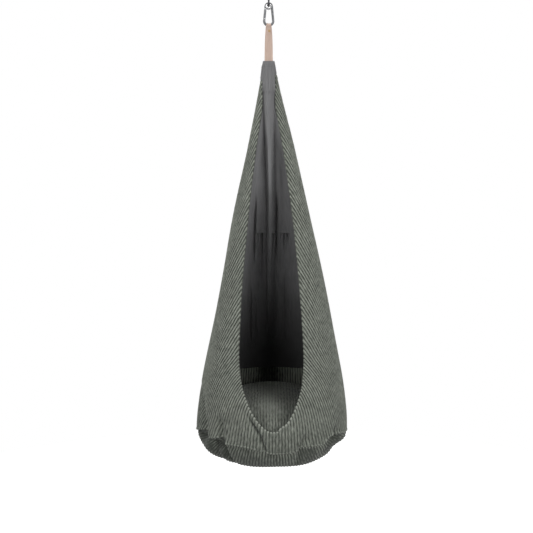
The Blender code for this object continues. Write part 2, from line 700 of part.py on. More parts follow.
def wall_cloth(name, finish, top, low, columns, inset, thickness, set_back=0.0, fold=None):
    """A piece of the wall from edge to edge of the opening round the back, and right round below the lip."""
    bm = bmesh.new()
    layers = [], []
    for z in wall_rows(top, low):
        right = opening_angle(z, "right")
        left = opening_angle(z, "left")
        back = set_back / wall_half_width(z) if right > 0 else 0.0
        start, end = right + back, 2 * math.pi - left - back
        for layer, depth in zip(layers, (inset, inset + thickness)):
            row = []
            for j in range(columns + 1):
                angle = start + (end - start) * j / columns
                extra = fold(angle, z) if fold else 0.0
                row.append(bm.verts.new(wall_point(angle, z, depth + extra)))
            if right == 0:
                bm.verts.remove(row[-1])
                row[-1] = row[0]
            layer.append(row)
    join_layers(bm, layers, False)
    object_of(name, bm, finish)


def ring_cloth(name, finish, rows, columns, thickness_of):
    """A closed ring or a dish: rows are functions of angle and inset, and a last row may be one point."""
    bm = bmesh.new()
    layers = [], []
    for row in rows:
        for layer, inset in zip(layers, thickness_of):
            layer.append([bm.verts.new(row(2 * math.pi * j / columns, inset)) for j in range(columns)])
    join_layers(bm, layers, True)
    bmesh.ops.remove_doubles(bm, verts=bm.verts, dist=WELD)
    bmesh.ops.dissolve_degenerate(bm, edges=bm.edges, dist=WELD)
    object_of(name, bm, finish)


# Crown collar, in lining cotton, sewn round the webbing's tails

collar_rows = [(lambda angle, inset, z=crown_z - COLLAR_LENGTH * i / 3: wall_point(angle, z, inset))
               for i in range(4)]
ring_cloth("crown_collar", lining_cotton, collar_rows, WALL_COLUMNS, (0.0, COLLAR_THICKNESS))


# Outer panel and bottom panel, in corduroy

panel_top = crown_z - COLLAR_LENGTH - SEAM_GAP
wall_cloth("outer_panel", corduroy, panel_top, seam_z, WALL_COLUMNS, 0.0, CORDUROY)


def bottom_rows(first_turn, start_gap):
    """Rows of a dish from the seam down the rounding and in to the middle."""
    turns = [first_turn + (math.pi / 2 - first_turn) * i / TURN_ROWS for i in range(TURN_ROWS + 1)]
    turns[0] += start_gap / BOTTOM_ROUNDING
    rows = [(lambda angle, inset, turn=turn: bottom_point(angle, turn, 0, inset)) for turn in turns]
    rows += [(lambda angle, inset, share=share: bottom_point(angle, math.pi / 2, share, inset))
             for share in (0.5, 1.0)]
    return rows


ring_cloth("bottom_panel", corduroy, bottom_rows(SEAM_ANGLE, SEAM_GAP), WALL_COLUMNS, (0.0, CORDUROY))


# Lining in two lengths with a gathered seam between them, and the corduroy band inside the seat

def upper_fold(angle, z):
    """Long soft folds, which run out towards the crown."""
    wave = 0.5 + 0.5 * math.cos(UPPER_FOLDS * angle + 0.8)
    return UPPER_FOLD_DEPTH * wall_half_width(z) * wave


def lower_fold(angle, z):
    """Gathers that start at the seam and fade downwards."""
    fade = max(0.0, 1 - (lining_seam_z - z) / LOWER_FOLD_FADE)
    wave = 0.5 + 0.5 * math.cos(LOWER_FOLDS * angle + 0.4)
    return LOWER_FOLD_DEPTH * wave * fade


lining_inset = CORDUROY + CLOTH_GAP
wall_cloth("lining_upper", lining_cotton, panel_top, lining_seam_z, LINING_COLUMNS, lining_inset, LINING,
           HEM_SET_BACK, upper_fold)
wall_cloth("lining_lower", lining_cotton, lining_seam_z - SEAM_GAP, band_top_z, LINING_COLUMNS, lining_inset,
           LINING, HEM_SET_BACK, lower_fold)
wall_cloth("inner_band", corduroy, band_top_z - SEAM_GAP, seam_z, WALL_COLUMNS, lining_inset, BAND_CORDUROY,
           HEM_SET_BACK)
ring_cloth("floor_lining", lining_cotton, bottom_rows(SEAM_ANGLE, SEAM_GAP), WALL_COLUMNS,
           (lining_inset, lining_inset + LINING))


# Cushion: a crowned top, a bottom that lies in the pod, and the filling between them

cushion_inset = lining_inset + BAND_CORDUROY + CUSHION_FIT


def cushion_top_point(angle, rise, inset):
    """rise runs from 0 at the side seam to a quarter turn at the middle. inset is into the cushion."""
    side = wall_point(angle, cushion_seam_z, cushion_inset + inset)
    middle = Vector((lean(cushion_seam_z), 0, cushion_seam_z))
    reach = max(0.0, math.cos(rise)) ** CUSHION_SIDE_POWER if rise < math.pi / 2 - WELD else 0.0
    lift = math.sin(rise) ** CUSHION_CROWN_POWER if rise > 0 else 0.0
    point = middle + reach * (side - middle)
    flat_inset = inset * (1 - math.cos(rise))
    return point + Vector((0, 0, (CUSHION_CROWN + CUSHION_TILT * point.y) * lift - flat_inset))


def cushion_top_rows():
    rises = [math.pi / 2 * (CUSHION_ROWS - i) / CUSHION_ROWS for i in range(CUSHION_ROWS + 1)]
    return [(lambda angle, inset, rise=rise: cushion_top_point(angle, rise, inset)) for rise in rises]


def cushion_low_rows(gap, extra):
    """The bottom of the cushion follows the band and the floor."""
    deep = cushion_inset + extra
    rows = [(lambda angle, inset, z=z: wall_point(angle, z, deep + inset))
            for z in (cushion_seam_z - gap, rounding_z, seam_z)]
    return rows + [(lambda angle, inset, row=row: row(angle, deep + inset))
                   for row in bottom_rows(SEAM_ANGLE, 0)[1:]]


ring_cloth("cushion_top", corduroy, cushion_top_rows(), WALL_COLUMNS, (0.0, CUSHION_COVER))
ring_cloth("cushion_bottom", corduroy, cushion_low_rows(SEAM_GAP, 0.0), WALL_COLUMNS, (0.0, CUSHION_COVER))


def cushion_filling():
    """One soft body that fills the cover."""
    inset = CUSHION_COVER + FILLING_FIT
    rows = cushion_top_rows() + cushion_low_rows(0.0, 0.0)[1:]
    bm = bmesh.new()
    rings = [[bm.verts.new(row(2 * math.pi * j / WALL_COLUMNS, inset)) for j in range(WALL_COLUMNS)]
             for row in rows]
    skin(bm, rings, True)
    bmesh.ops.remove_doubles(bm, verts=bm.verts, dist=WELD)
    bmesh.ops.dissolve_degenerate(bm, edges=bm.edges, dist=WELD)
    object_of("cushion_filling", bm, filling_fleece)


cushion_filling()
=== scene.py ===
"""Hanging pod swing for one child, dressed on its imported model. Metres, +Z up, the opening faces -Y."""

import math

import bmesh
import bpy
import numpy as np
from mathutils import Matrix, Vector
from mathutils.bvhtree import BVHTree


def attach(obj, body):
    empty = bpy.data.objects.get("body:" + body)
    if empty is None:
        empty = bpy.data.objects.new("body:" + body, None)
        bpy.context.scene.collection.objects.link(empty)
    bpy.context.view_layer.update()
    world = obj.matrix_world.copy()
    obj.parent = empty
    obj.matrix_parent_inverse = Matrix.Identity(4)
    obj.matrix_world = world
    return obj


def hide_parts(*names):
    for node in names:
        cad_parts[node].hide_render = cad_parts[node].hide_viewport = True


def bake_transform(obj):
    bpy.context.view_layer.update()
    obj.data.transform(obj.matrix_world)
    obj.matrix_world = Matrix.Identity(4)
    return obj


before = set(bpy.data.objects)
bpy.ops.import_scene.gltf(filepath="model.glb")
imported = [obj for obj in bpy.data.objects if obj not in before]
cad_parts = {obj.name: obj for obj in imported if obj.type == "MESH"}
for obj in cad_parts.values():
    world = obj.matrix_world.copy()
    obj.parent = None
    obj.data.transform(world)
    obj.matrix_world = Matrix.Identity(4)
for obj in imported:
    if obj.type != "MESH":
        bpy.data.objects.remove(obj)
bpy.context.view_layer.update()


# Ceiling plate and bow. A flat bar with four countersunk screw holes, and a bent round bar welded
# under it, both zinc plated. The zinc has a fine crystal grain, dull blotches and fine scratches.

def add(tree, kind, inputs=(), **settings):
    """A node with its settings. An input is given a value or linked from another node's socket."""
    node = tree.nodes.new(kind)
    for name, value in settings.items():
        setattr(node, name, value)
    for name, value in dict(inputs).items():
        if isinstance(value, bpy.types.NodeSocket):
            tree.links.new(value, node.inputs[name])
        else:
            node.inputs[name].default_value = value
    return node


def times_plus(tree, value, factor, rest):
    """value * factor + rest."""
    return add(tree, "ShaderNodeMath", {0: value, 1: factor, 2: rest}, operation="MULTIPLY_ADD").outputs[0]


def ranged(tree, value, low, high, to_low=0.0, to_high=1.0):
    """The value's share of the way from low to high, on another range."""
    return add(tree, "ShaderNodeMapRange", {"Value": value, "From Min": low, "From Max": high,
                                            "To Min": to_low, "To Max": to_high}).outputs[0]


def blended(tree, share, first, second):
    """The first colour at share 0 and the second at 1."""
    return add(tree, "ShaderNodeMixRGB", {"Fac": share, "Color1": first, "Color2": second}).outputs[0]


def scaled(tree, colour, factor):
    return add(tree, "ShaderNodeVectorMath", {0: colour, "Scale": factor}, operation="SCALE").outputs[0]


def noise(tree, place, scale, detail):
    return add(tree, "ShaderNodeTexNoise", {"Vector": place, "Scale": scale, "Detail": detail}).outputs["Fac"]


def stretched(tree, place, scale):
    """The place on scaled axes, so that a pattern laid on it is drawn out along the low ones."""
    return add(tree, "ShaderNodeMapping", {"Vector": place, "Scale": scale}).outputs["Vector"]


def effect(name, inputs):
    """An effect that several finishes share: a node group with named inputs that gives the surface's colour,
    roughness and height."""
    tree = bpy.data.node_groups.new(name, "ShaderNodeTree")
    for label, value in inputs.items():
        kind = "NodeSocketColor" if isinstance(value, tuple) else "NodeSocketFloat"
        tree.interface.new_socket(label, in_out="INPUT", socket_type=kind).default_value = value
    for label, kind in (("Colour", "Color"), ("Roughness", "Float"), ("Height", "Float")):
        tree.interface.new_socket(label, in_out="OUTPUT", socket_type="NodeSocket" + kind)
    return tree, tree.nodes.new("NodeGroupInput").outputs, tree.nodes.new("NodeGroupOutput").inputs


def put_out(tree, out, **values):
    """The effect's results, linked to its outputs."""
    for label, value in values.items():
        tree.links.new(value, out[label])


def finish(name, tree, values, bump=0.0, **shader_values):
    """A material: the effect's colour, roughness and height on a Principled shader."""
    made = bpy.data.materials.new(name)
    made.use_nodes = True
    nt = made.node_tree
    shader = nt.nodes["Principled BSDF"]
    group = add(nt, "ShaderNodeGroup", node_tree=tree)
    for label, value in values.items():
        group.inputs[label].default_value = value
    nt.links.new(group.outputs["Colour"], shader.inputs["Base Color"])
    nt.links.new(group.outputs["Roughness"], shader.inputs["Roughness"])
    relief = add(nt, "ShaderNodeBump", {"Strength": 1.0, "Distance": bump, "Height": group.outputs["Height"]})
    nt.links.new(relief.outputs["Normal"], shader.inputs["Normal"])
    for label, value in shader_values.items():
        shader.inputs[label.replace("_", " ").title().replace("Ior", "IOR")].default_value = value
    return made


def grain_effect():
    """Plated steel: a crystal grain, dull blotches and fine scratches."""
    tree, given, out = effect("plated steel grain", {
        "Bright": (0.5, 0.5, 0.5, 1), "Dull": (0.3, 0.3, 0.3, 1), "Grain": 900.0, "Base roughness": 0.35})
    here = add(tree, "ShaderNodeTexCoord").outputs["Object"]
    crystals = add(tree, "ShaderNodeTexVoronoi", {"Vector": here, "Scale": given["Grain"]}).outputs["Color"]
    tone = add(tree, "ShaderNodeRGBToBW", {"Color": crystals}).outputs["Val"]
    blotch = noise(tree, here, 160.0, 5.0)
    scratch = noise(tree, stretched(tree, here, (2600.0, 2600.0, 160.0)), 1.0, 3.0)
    share = ranged(tree, times_plus(tree, tone, blotch, -0.05), 0.0, 0.55)
    rough = times_plus(tree, blotch, 0.35, -0.16)
    rough = add(tree, "ShaderNodeMath", {0: rough, 1: given["Base roughness"]}, operation="ADD").outputs[0]
    put_out(tree, out, Colour=blended(tree, share, given["Dull"], given["Bright"]), Roughness=rough,
            Height=times_plus(tree, scratch, 0.6, tone))
    return tree


def linked(name, data):
    """A mesh, light or camera as an object in the scene."""
    obj = bpy.data.objects.new(name, data)
    bpy.context.scene.collection.objects.link(obj)
    return obj


def object_from(name, bm, material, sharp=35):
    """An object of the mesh, smooth but for edges sharper than that many degrees."""
    bmesh.ops.recalc_face_normals(bm, faces=bm.faces)
    mesh = bpy.data.meshes.new(name)
    bm.to_mesh(mesh)
    bm.free()
    mesh.shade_smooth()
    mesh.set_sharp_from_angle(angle=math.radians(sharp))
    if material:
        mesh.materials.append(material)
    return linked(name, mesh)


def shaped(body, tool, operation="DIFFERENCE"):
    """The body with the tool's shape cut out of it or joined to it. Both are meshes in the making."""
    pair = [object_from("shape", bm, None) for bm in (body, tool)]
    change = pair[0].modifiers.new("shape", "BOOLEAN")
    change.operation, change.solver, change.object = operation, "EXACT", pair[1]
    made = bmesh.new()
    made.from_object(pair[0], bpy.context.evaluated_depsgraph_get())
    for obj in pair:
        mesh = obj.data
        bpy.data.objects.remove(obj)
        bpy.data.meshes.remove(mesh)
    return made


def break_edges(bm, edges, offset, segments=2):
    """The edges rounded off by that offset."""
    bmesh.ops.bevel(bm, geom=edges, offset=offset, segments=segments, profile=0.5, affect="EDGES",
                    material=-1)


def rod(radius, length, at=(0, 0, 0), turn=Matrix.Identity(4), sides=32, end_radius=None, soft_edge=0.0):
    """A round rod or cone along Z, turned and moved, with its edges broken."""
    bm = bmesh.new()
    bmesh.ops.create_cone(bm, cap_ends=True, segments=sides, depth=length, radius1=radius,
                          radius2=radius if end_radius is None else end_radius)
    if soft_edge:
        break_edges(bm, [e for e in bm.edges if any(len(f.verts) > 4 for f in e.link_faces)], soft_edge)
    bmesh.ops.transform(bm, matrix=Matrix.Translation(at) @ turn, verts=bm.verts)
    return bm


def bar_block(size, at=(0, 0, 0), turn=Matrix.Identity(4), soft_edge=0.0):
    """A block, turned and moved, with its edges broken."""
    bm = bmesh.new()
    bmesh.ops.create_cube(bm, size=1)
    bmesh.ops.scale(bm, vec=size, verts=bm.verts)
    if soft_edge:
        break_edges(bm, bm.edges[:], soft_edge)
    bmesh.ops.transform(bm, matrix=Matrix.Translation(at) @ turn, verts=bm.verts)
    return bm


def bar_end(bm, radius, at, side, chamfer):
    """The flat cap of a round bar, smaller than the bar by its chamfer. It lies in the plane of side and Y,
    and its ring of edges is given back for the bar to grow from."""
    side = Vector(side).normalized()
    axes = Matrix((side, (0, 1, 0), side.cross(Vector((0, 1, 0))))).transposed().to_4x4()
    ring = bmesh.ops.create_circle(bm, cap_ends=True, segments=32, radius=radius - chamfer,
                                   matrix=Matrix.Translation(at) @ axes)["verts"]
    return list({e for v in ring for e in v.link_edges})


def pushed(bm, edges, move, scale=1.0):
    """The bar grown from its last ring by a straight step, and widened or narrowed."""
    new = bmesh.ops.extrude_edge_only(bm, edges=edges)["geom"]
    verts = [g for g in new if isinstance(g, bmesh.types.BMVert)]
    bmesh.ops.translate(bm, verts=verts, vec=move)
    if scale != 1.0:
        middle = sum((v.co for v in verts), Vector()) / len(verts)
        bmesh.ops.scale(bm, verts=verts, vec=(scale,) * 3, space=Matrix.Translation(-middle))
    return [g for g in new if isinstance(g, bmesh.types.BMEdge) and set(g.verts) <= set(verts)]


def bent(bm, edges, centre, axis, angle, steps=40):
    """The bar grown from its last ring round a bend."""
    verts = list({v for e in edges for v in e.verts})
    last = bmesh.ops.spin(bm, geom=edges + verts, cent=centre, axis=axis, dvec=(0, 0, 0), angle=angle,
                          steps=steps, use_merge=False, use_duplicate=False)["geom_last"]
    return [g for g in last if isinstance(g, bmesh.types.BMEdge)]


steel_grain = grain_effect()
galvanised = finish("galvanised steel", steel_grain, {
    "Bright": (0.185, 0.188, 0.195, 1), "Dull": (0.075, 0.077, 0.08, 1), "Grain": 700.0,
    "Base roughness": 0.44,
}, bump=0.00006, metallic=1.0)
dark_weld = finish("weld metal", steel_grain, {
    "Bright": (0.16, 0.155, 0.15, 1), "Dull": (0.06, 0.058, 0.056, 1), "Grain": 1800.0, "Base roughness": 0.5,
}, bump=0.00008, metallic=1.0)
PLATE_SIZE = (0.090, 0.042, 0.004)
PLATE_CORNER = 0.010
HOLES_OUT = (0.034, 0.012)
HOLE_RADIUS, SINK_RADIUS, SINK_DEPTH, SINK_Z = 0.00325, 0.00655, 0.0035, -0.00315
BOW_BAR, BOW_RADIUS, BOW_TOP, BOW_CENTRE_Z = 0.004, 0.013, -0.0043, -0.014
BOW_CHAMFER = 0.0003
BEADS, BEAD_RING, BEAD_Z, BEAD_SIZE = 15, 0.0044, -0.0052, (0.0012, 0.0013, 0.0009, 1)


def ceiling_plate():
    """A flat bar with round corners and broken edges, and a countersunk hole near each corner."""
    plate = bar_block(PLATE_SIZE)
    upright = [e for e in plate.edges if abs(e.verts[0].co.z - e.verts[1].co.z) > PLATE_SIZE[2] / 2]
    break_edges(plate, upright, PLATE_CORNER, 12)
    break_edges(plate, [e for e in plate.edges if all(v.co.z < 0 for v in e.verts)], 0.0006, 3)
    bmesh.ops.translate(plate, verts=plate.verts, vec=(0, 0, -PLATE_SIZE[2] / 2))
    for x in (-HOLES_OUT[0], HOLES_OUT[0]):
        for y in (-HOLES_OUT[1], HOLES_OUT[1]):
            plate = shaped(plate, rod(HOLE_RADIUS, 0.02, (x, y, 0), sides=40))
            sink = rod(SINK_RADIUS, SINK_DEPTH, (x, y, SINK_Z), sides=40, end_radius=HOLE_RADIUS)
            plate = shaped(plate, sink)
    return object_from("screw_plate", plate, galvanised)


def welded_bow():
    """Round bar bent to a half circle, with a weld bead round each leg under the plate."""
    narrow = (BOW_BAR - BOW_CHAMFER) / BOW_BAR
    leg = BOW_CENTRE_Z - BOW_TOP + BOW_CHAMFER
    bm = bmesh.new()
    ring = bar_end(bm, BOW_BAR, (-BOW_RADIUS, 0, BOW_TOP), (1, 0, 0), BOW_CHAMFER)
    ring = pushed(bm, ring, (0, 0, -BOW_CHAMFER), 1 / narrow)
    ring = pushed(bm, ring, (0, 0, leg))
    ring = bent(bm, ring, (0, 0, BOW_CENTRE_Z), (0, -1, 0), math.pi)
    ring = pushed(bm, ring, (0, 0, -leg))
    ring = pushed(bm, ring, (0, 0, BOW_CHAMFER), narrow)
    bmesh.ops.holes_fill(bm, edges=ring, sides=0)
    beads = bmesh.new()
    for side in (-1, 1):
        for i in range(BEADS):
            turn = 2 * math.pi * i / BEADS
            at = (side * BOW_RADIUS + BEAD_RING * math.cos(turn), BEAD_RING * math.sin(turn), BEAD_Z)
            shape = Matrix.Translation(at) @ Matrix.Rotation(turn, 4, "Z") @ Matrix.Diagonal(BEAD_SIZE)
            bmesh.ops.create_uvsphere(beads, u_segments=12, v_segments=8, radius=1.0, matrix=shape)
    return object_from("bent_bow", bm, galvanised), object_from("bow_welds", beads, dark_weld)


screw_plate = ceiling_plate()
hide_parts("ceiling_plate")
bent_bow, bow_welds = welded_bow()
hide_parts("ceiling_bow")
for piece in (screw_plate, bent_bow, bow_welds):
    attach(piece, "ceiling")


# Chain link. Round wire bent to an oval and butt-welded, with a dark oxide finish. It hangs on the bow
# and carries the snap hook.

dark_steel = finish("dark oxide steel", steel_grain, {
    "Bright": (0.07, 0.07, 0.075, 1), "Dull": (0.025, 0.025, 0.028, 1), "Grain": 1100.0,
    "Base roughness": 0.46,
}, bump=0.00005, metallic=1.0)
LINK_WIRE, LINK_RADIUS, LINK_HIGH, LINK_LOW = 0.003, 0.009, -0.0287, -0.0587
WELD_SWELLING = ((0.0010, 1.09), (0.0012, 1.02), (0.0012, 1 / 1.02), (0.0010, 1 / 1.09))


def chain_link():
    """Round wire bent to an oval, with the swelling of its butt weld in one straight side."""
    half = (LINK_HIGH - LINK_LOW) / 2
    weld = sum(step for step, scale in WELD_SWELLING)
    bm = bmesh.new()
    start = bmesh.ops.create_circle(bm, cap_ends=False, segments=28, radius=LINK_WIRE,
                                    matrix=Matrix.Translation((0, LINK_RADIUS, LINK_LOW + half)))["verts"]
    ring = list({e for v in start for e in v.link_edges})
    ring = pushed(bm, ring, (0, 0, half))
    ring = bent(bm, ring, (0, 0, LINK_HIGH), (1, 0, 0), math.pi)
    ring = pushed(bm, ring, (0, 0, weld / 2 - half))
    for step, scale in WELD_SWELLING:
        ring = pushed(bm, ring, (0, 0, -step), scale)
    ring = pushed(bm, ring, (0, 0, weld / 2 - half))
    ring = bent(bm, ring, (0, 0, LINK_LOW), (1, 0, 0), math.pi)
    pushed(bm, ring, (0, 0, half))
    bmesh.ops.remove_doubles(bm, verts=bm.verts, dist=0.00001)
    return object_from("welded_link", bm, dark_steel)


welded_link = chain_link()
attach(welded_link, "link")
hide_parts("chain_link")


# Snap hook. A pear-shaped hook of round bar with a light ring in its narrow end. Its gate is forked over
# a tang and a notched nose, turns on a rivet, and is closed by a plunger and a spring in its bore.

HOOK_SLOPE = math.radians(5.5527)
HOOK_ARM = Matrix.Rotation(HOOK_SLOPE, 4, "Y")
ACROSS_ARM = HOOK_ARM @ Matrix.Rotation(math.pi / 2, 4, "X")
HOOK_BAR_RADIUS, HOOK_CHAMFER = 0.004, 0.0004
NARROW_Z, NARROW_RADIUS = -0.0694, 0.0105
WIDE_Z, WIDE_RADIUS = -0.1159, 0.015
TANG_THICKNESS, SLOT_WIDTH = 0.003, 0.0036
ARM_STARTS, HINGE_DOWN, LATCH_DOWN, NOSE_DOWN = 0.0035, 0.0085, 0.041, 0.0443
PIN_HOLE = 0.0016
EYE_SHEET = 0.0012
EYE_GROOVE = 0.0043
EYE_WRAP = math.radians(70)


def on_arm(down, out=0.0):
    """A point of the gate's arm, that far down from the narrow bend and out from its axis."""
    start = Vector((0, 0, NARROW_Z)) - NARROW_RADIUS * (HOOK_ARM @ Vector((1, 0, 0)))
    return start + HOOK_ARM @ Vector((-out, 0, -down))


def hook_body():
    """The bar bent to the hook, with a bored tang for the gate's rivet and a notched nose for its latch
    pin."""
    long_side = (NARROW_Z - WIDE_Z) * math.cos(HOOK_SLOPE)
    along = HOOK_ARM @ Vector((0, 0, 1))
    narrow = (HOOK_BAR_RADIUS - HOOK_CHAMFER) / HOOK_BAR_RADIUS
    bm = bmesh.new()
    ring = bar_end(bm, HOOK_BAR_RADIUS, on_arm(ARM_STARTS), HOOK_ARM @ Vector((-1, 0, 0)), HOOK_CHAMFER)
    ring = pushed(bm, ring, along * HOOK_CHAMFER, 1 / narrow)
    ring = pushed(bm, ring, along * (ARM_STARTS - HOOK_CHAMFER))
    ring = bent(bm, ring, (0, 0, NARROW_Z), (0, 1, 0), math.pi - 2 * HOOK_SLOPE)
    ring = pushed(bm, ring, Vector((-along.x, 0, along.z)) * -long_side)
    ring = bent(bm, ring, (0, 0, WIDE_Z), (0, 1, 0), math.pi + 2 * HOOK_SLOPE, 56)
    ring = pushed(bm, ring, along * (long_side - NOSE_DOWN - HOOK_CHAMFER))
    ring = pushed(bm, ring, along * HOOK_CHAMFER, narrow)
    bmesh.ops.holes_fill(bm, edges=ring, sides=0)
    tang = bar_block((0.0068, TANG_THICKNESS, 0.0065), on_arm(0.00525), HOOK_ARM)
    nose = bar_block((0.0068, TANG_THICKNESS, 0.0079), on_arm(0.04135), HOOK_ARM, 0.0003)
    notch = bar_block((0.00515, 0.008, 0.0035), on_arm(LATCH_DOWN, -0.001025), HOOK_ARM)
    bm = shaped(bm, tang, "UNION")
    bm = shaped(bm, rod(0.0034, TANG_THICKNESS, on_arm(HINGE_DOWN), ACROSS_ARM), "UNION")
    bm = shaped(bm, rod(PIN_HOLE, 0.02, on_arm(HINGE_DOWN), ACROSS_ARM))
    bm = shaped(bm, nose, "UNION")
    bm = shaped(bm, notch)
    return object_from("hook_bar", bm, galvanised)


def hook_gate():
    """A bar with a round top, slotted at both ends, bored for its spring, and drilled for its two pins."""
    bm = bmesh.new()
    bmesh.ops.create_uvsphere(bm, u_segments=36, v_segments=20, radius=HOOK_BAR_RADIUS)
    bmesh.ops.delete(bm, geom=[v for v in bm.verts if v.co.z < -0.00001], context="VERTS")
    ring = [e for e in bm.edges if e.is_boundary]
    ring = pushed(bm, ring, (0, 0, -0.0348))
    ring = pushed(bm, ring, (0, 0, -0.0003), 0.925)
    bmesh.ops.holes_fill(bm, edges=ring, sides=0)
    bmesh.ops.transform(bm, matrix=Matrix.Translation(on_arm(HINGE_DOWN)) @ HOOK_ARM, verts=bm.verts)
    for length, middle in ((0.0121, 0.00655), (0.0079, 0.04065)):
        bm = shaped(bm, bar_block((0.02, SLOT_WIDTH, length), on_arm(middle), HOOK_ARM))
    bm = shaped(bm, rod(0.0017, 0.0205, on_arm(0.02185), HOOK_ARM))
    for at in (HINGE_DOWN, LATCH_DOWN):
        bm = shaped(bm, rod(PIN_HOLE, 0.02, on_arm(at), ACROSS_ARM))
    return object_from("gate_bar", bm, galvanised)


def hook_eye():
    """A ring turned from sheet, as a channel that grips the bar, with rolled edges."""
    def arc(reach):
        turns = [EYE_WRAP * (i / 7 - 1) for i in range(15)]
        return [(reach * math.sin(a), NARROW_RADIUS - reach * math.cos(a)) for a in turns]

    rim = EYE_GROOVE + EYE_SHEET / 2
    roll = []
    for i in range(1, 5):
        a = math.pi * i / 5
        edge, past = rim + EYE_SHEET / 2 * math.cos(a), EYE_WRAP + EYE_SHEET / 2 * math.sin(a) / rim
        roll.append((edge * math.sin(past), NARROW_RADIUS - edge * math.cos(past)))
    profile = arc(EYE_GROOVE + EYE_SHEET) + roll + arc(EYE_GROOVE)[::-1] + [(-y, z) for y, z in roll[::-1]]
    bm = bmesh.new()
    knots = [bm.verts.new((0, y, NARROW_Z + z)) for y, z in profile]
    edges = [bm.edges.new((a, b)) for a, b in zip(knots, knots[1:] + knots[:1])]
    bmesh.ops.spin(bm, geom=edges + knots, cent=(0, 0, NARROW_Z), axis=(0, 1, 0), dvec=(0, 0, 0),
                   angle=2 * math.pi, steps=64, use_merge=True)
    bmesh.ops.remove_doubles(bm, verts=bm.verts, dist=0.00001)
    return object_from("sheet_eye", bm, bright_steel)


def pin(name, at, half):
    """A turned pin across the gate's arm, from its half profile of radius and height."""
    bm = bmesh.new()
    knots = [bm.verts.new((r, y, 0)) for r, y in half + [(r, -y) for r, y in half[::-1]]]
    edges = [bm.edges.new(pair) for pair in zip(knots, knots[1:])]
    bmesh.ops.spin(bm, geom=edges + knots, cent=(0, 0, 0), axis=(0, 1, 0), dvec=(0, 0, 0), angle=2 * math.pi,
                   steps=32, use_merge=True)
    bmesh.ops.remove_doubles(bm, verts=bm.verts, dist=0.00001)
    bmesh.ops.transform(bm, matrix=Matrix.Translation(on_arm(at)) @ HOOK_ARM, verts=bm.verts)
    return object_from(name, bm, bright_steel, 50)


SPRING_STARTS, SPRING_LENGTH, SPRING_RADIUS, SPRING_WIRE, SPRING_TURNS = 0.01655, 0.015, 0.00115, 0.00025, 9


def closing_spring():
    """Round wire, wound to fit between the plunger and the end of the bore."""
    bm = bmesh.new()
    place = Matrix.Translation((SPRING_RADIUS, 0, 0)) @ Matrix.Rotation(math.pi / 2, 4, "X")
    ring = bmesh.ops.create_circle(bm, cap_ends=True, segments=10, radius=SPRING_WIRE, matrix=place)
    edges = list({e for v in ring["verts"] for e in v.link_edges})
    steps = SPRING_TURNS * 24
    last = bmesh.ops.spin(bm, geom=edges + ring["verts"], cent=(0, 0, 0), axis=(0, 0, 1),
                          dvec=(0, 0, -SPRING_LENGTH / steps), angle=2 * math.pi * SPRING_TURNS, steps=steps,
                          use_merge=False, use_duplicate=False)["geom_last"]
    bmesh.ops.holes_fill(bm, edges=[g for g in last if isinstance(g, bmesh.types.BMEdge)], sides=0)
    bmesh.ops.transform(bm, matrix=Matrix.Translation(on_arm(SPRING_STARTS)) @ HOOK_ARM, verts=bm.verts)
    return object_from("wound_spring", bm, dark_steel)


bright_steel = finish("bright plated steel", steel_grain, {
    "Bright": (0.74, 0.74, 0.75, 1), "Dull": (0.55, 0.55, 0.56, 1), "Grain": 1500.0, "Base roughness": 0.22,
}, bump=0.00003, metallic=1.0)
rivet_half = [(0.0, 0.00465), (0.0008, 0.00460), (0.0014, 0.00448), (0.0018, 0.00428), (0.0020, 0.00405),
              (0.0013, 0.00405)]
latch_half = [(0.0, 0.00366), (0.00105, 0.00366), (0.00125, 0.00346)]
plunger = rod(0.0014, 0.0038, on_arm(0.0141), HOOK_ARM, soft_edge=0.0003)
for piece, node, body, slot in (
    (hook_body(), "carabiner_body", "hook", "galvanised_steel"),
    (hook_eye(), "carabiner_eye", "hook", "bright_steel"),
    (pin("hinge_rivet", HINGE_DOWN, rivet_half), "gate_hinge_pin", "hook", "bright_steel"),
    (hook_gate(), "carabiner_gate", "gate", "galvanised_steel"),
    (pin("latch_pin", LATCH_DOWN, latch_half), "gate_latch_pin", "gate", "bright_steel"),
    (object_from("plunger", plunger, bright_steel), "spring_plunger", "gate", "bright_steel"),
    (closing_spring(), "gate_spring", "gate", "dark_steel"),
):
    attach(piece, body)
    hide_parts(node)


# Webbing loop. One cotton strap, folded over the hook's bar and sewn to itself under it. Its two
# tails run down into the crown.

HOOK_BAR_Z = WIDE_Z - WIDE_RADIUS
WEB_WIDTH = 0.025
WEB_THICKNESS = 0.002
WEB_NECK_DROP = 0.0156
WEB_SPREAD = math.radians(31)
WEB_TAIL_DEPTH = 0.030
WEB_SLIP, WEB_EDGE_LIFT = 0.00035, 0.0010
WEB_NARROW, WEB_WIDENS, WEB_WIDENS_OVER = 0.0178, 0.0100, 0.042
CROWN_Z = -0.2475
YARNS = 20
YARN_HEIGHT = 0.00018


def soft(t):
    """0 to 1 with level ends."""
    t = np.clip(t, 0.0, 1.0)
    return t * t * (3 - 2 * t)


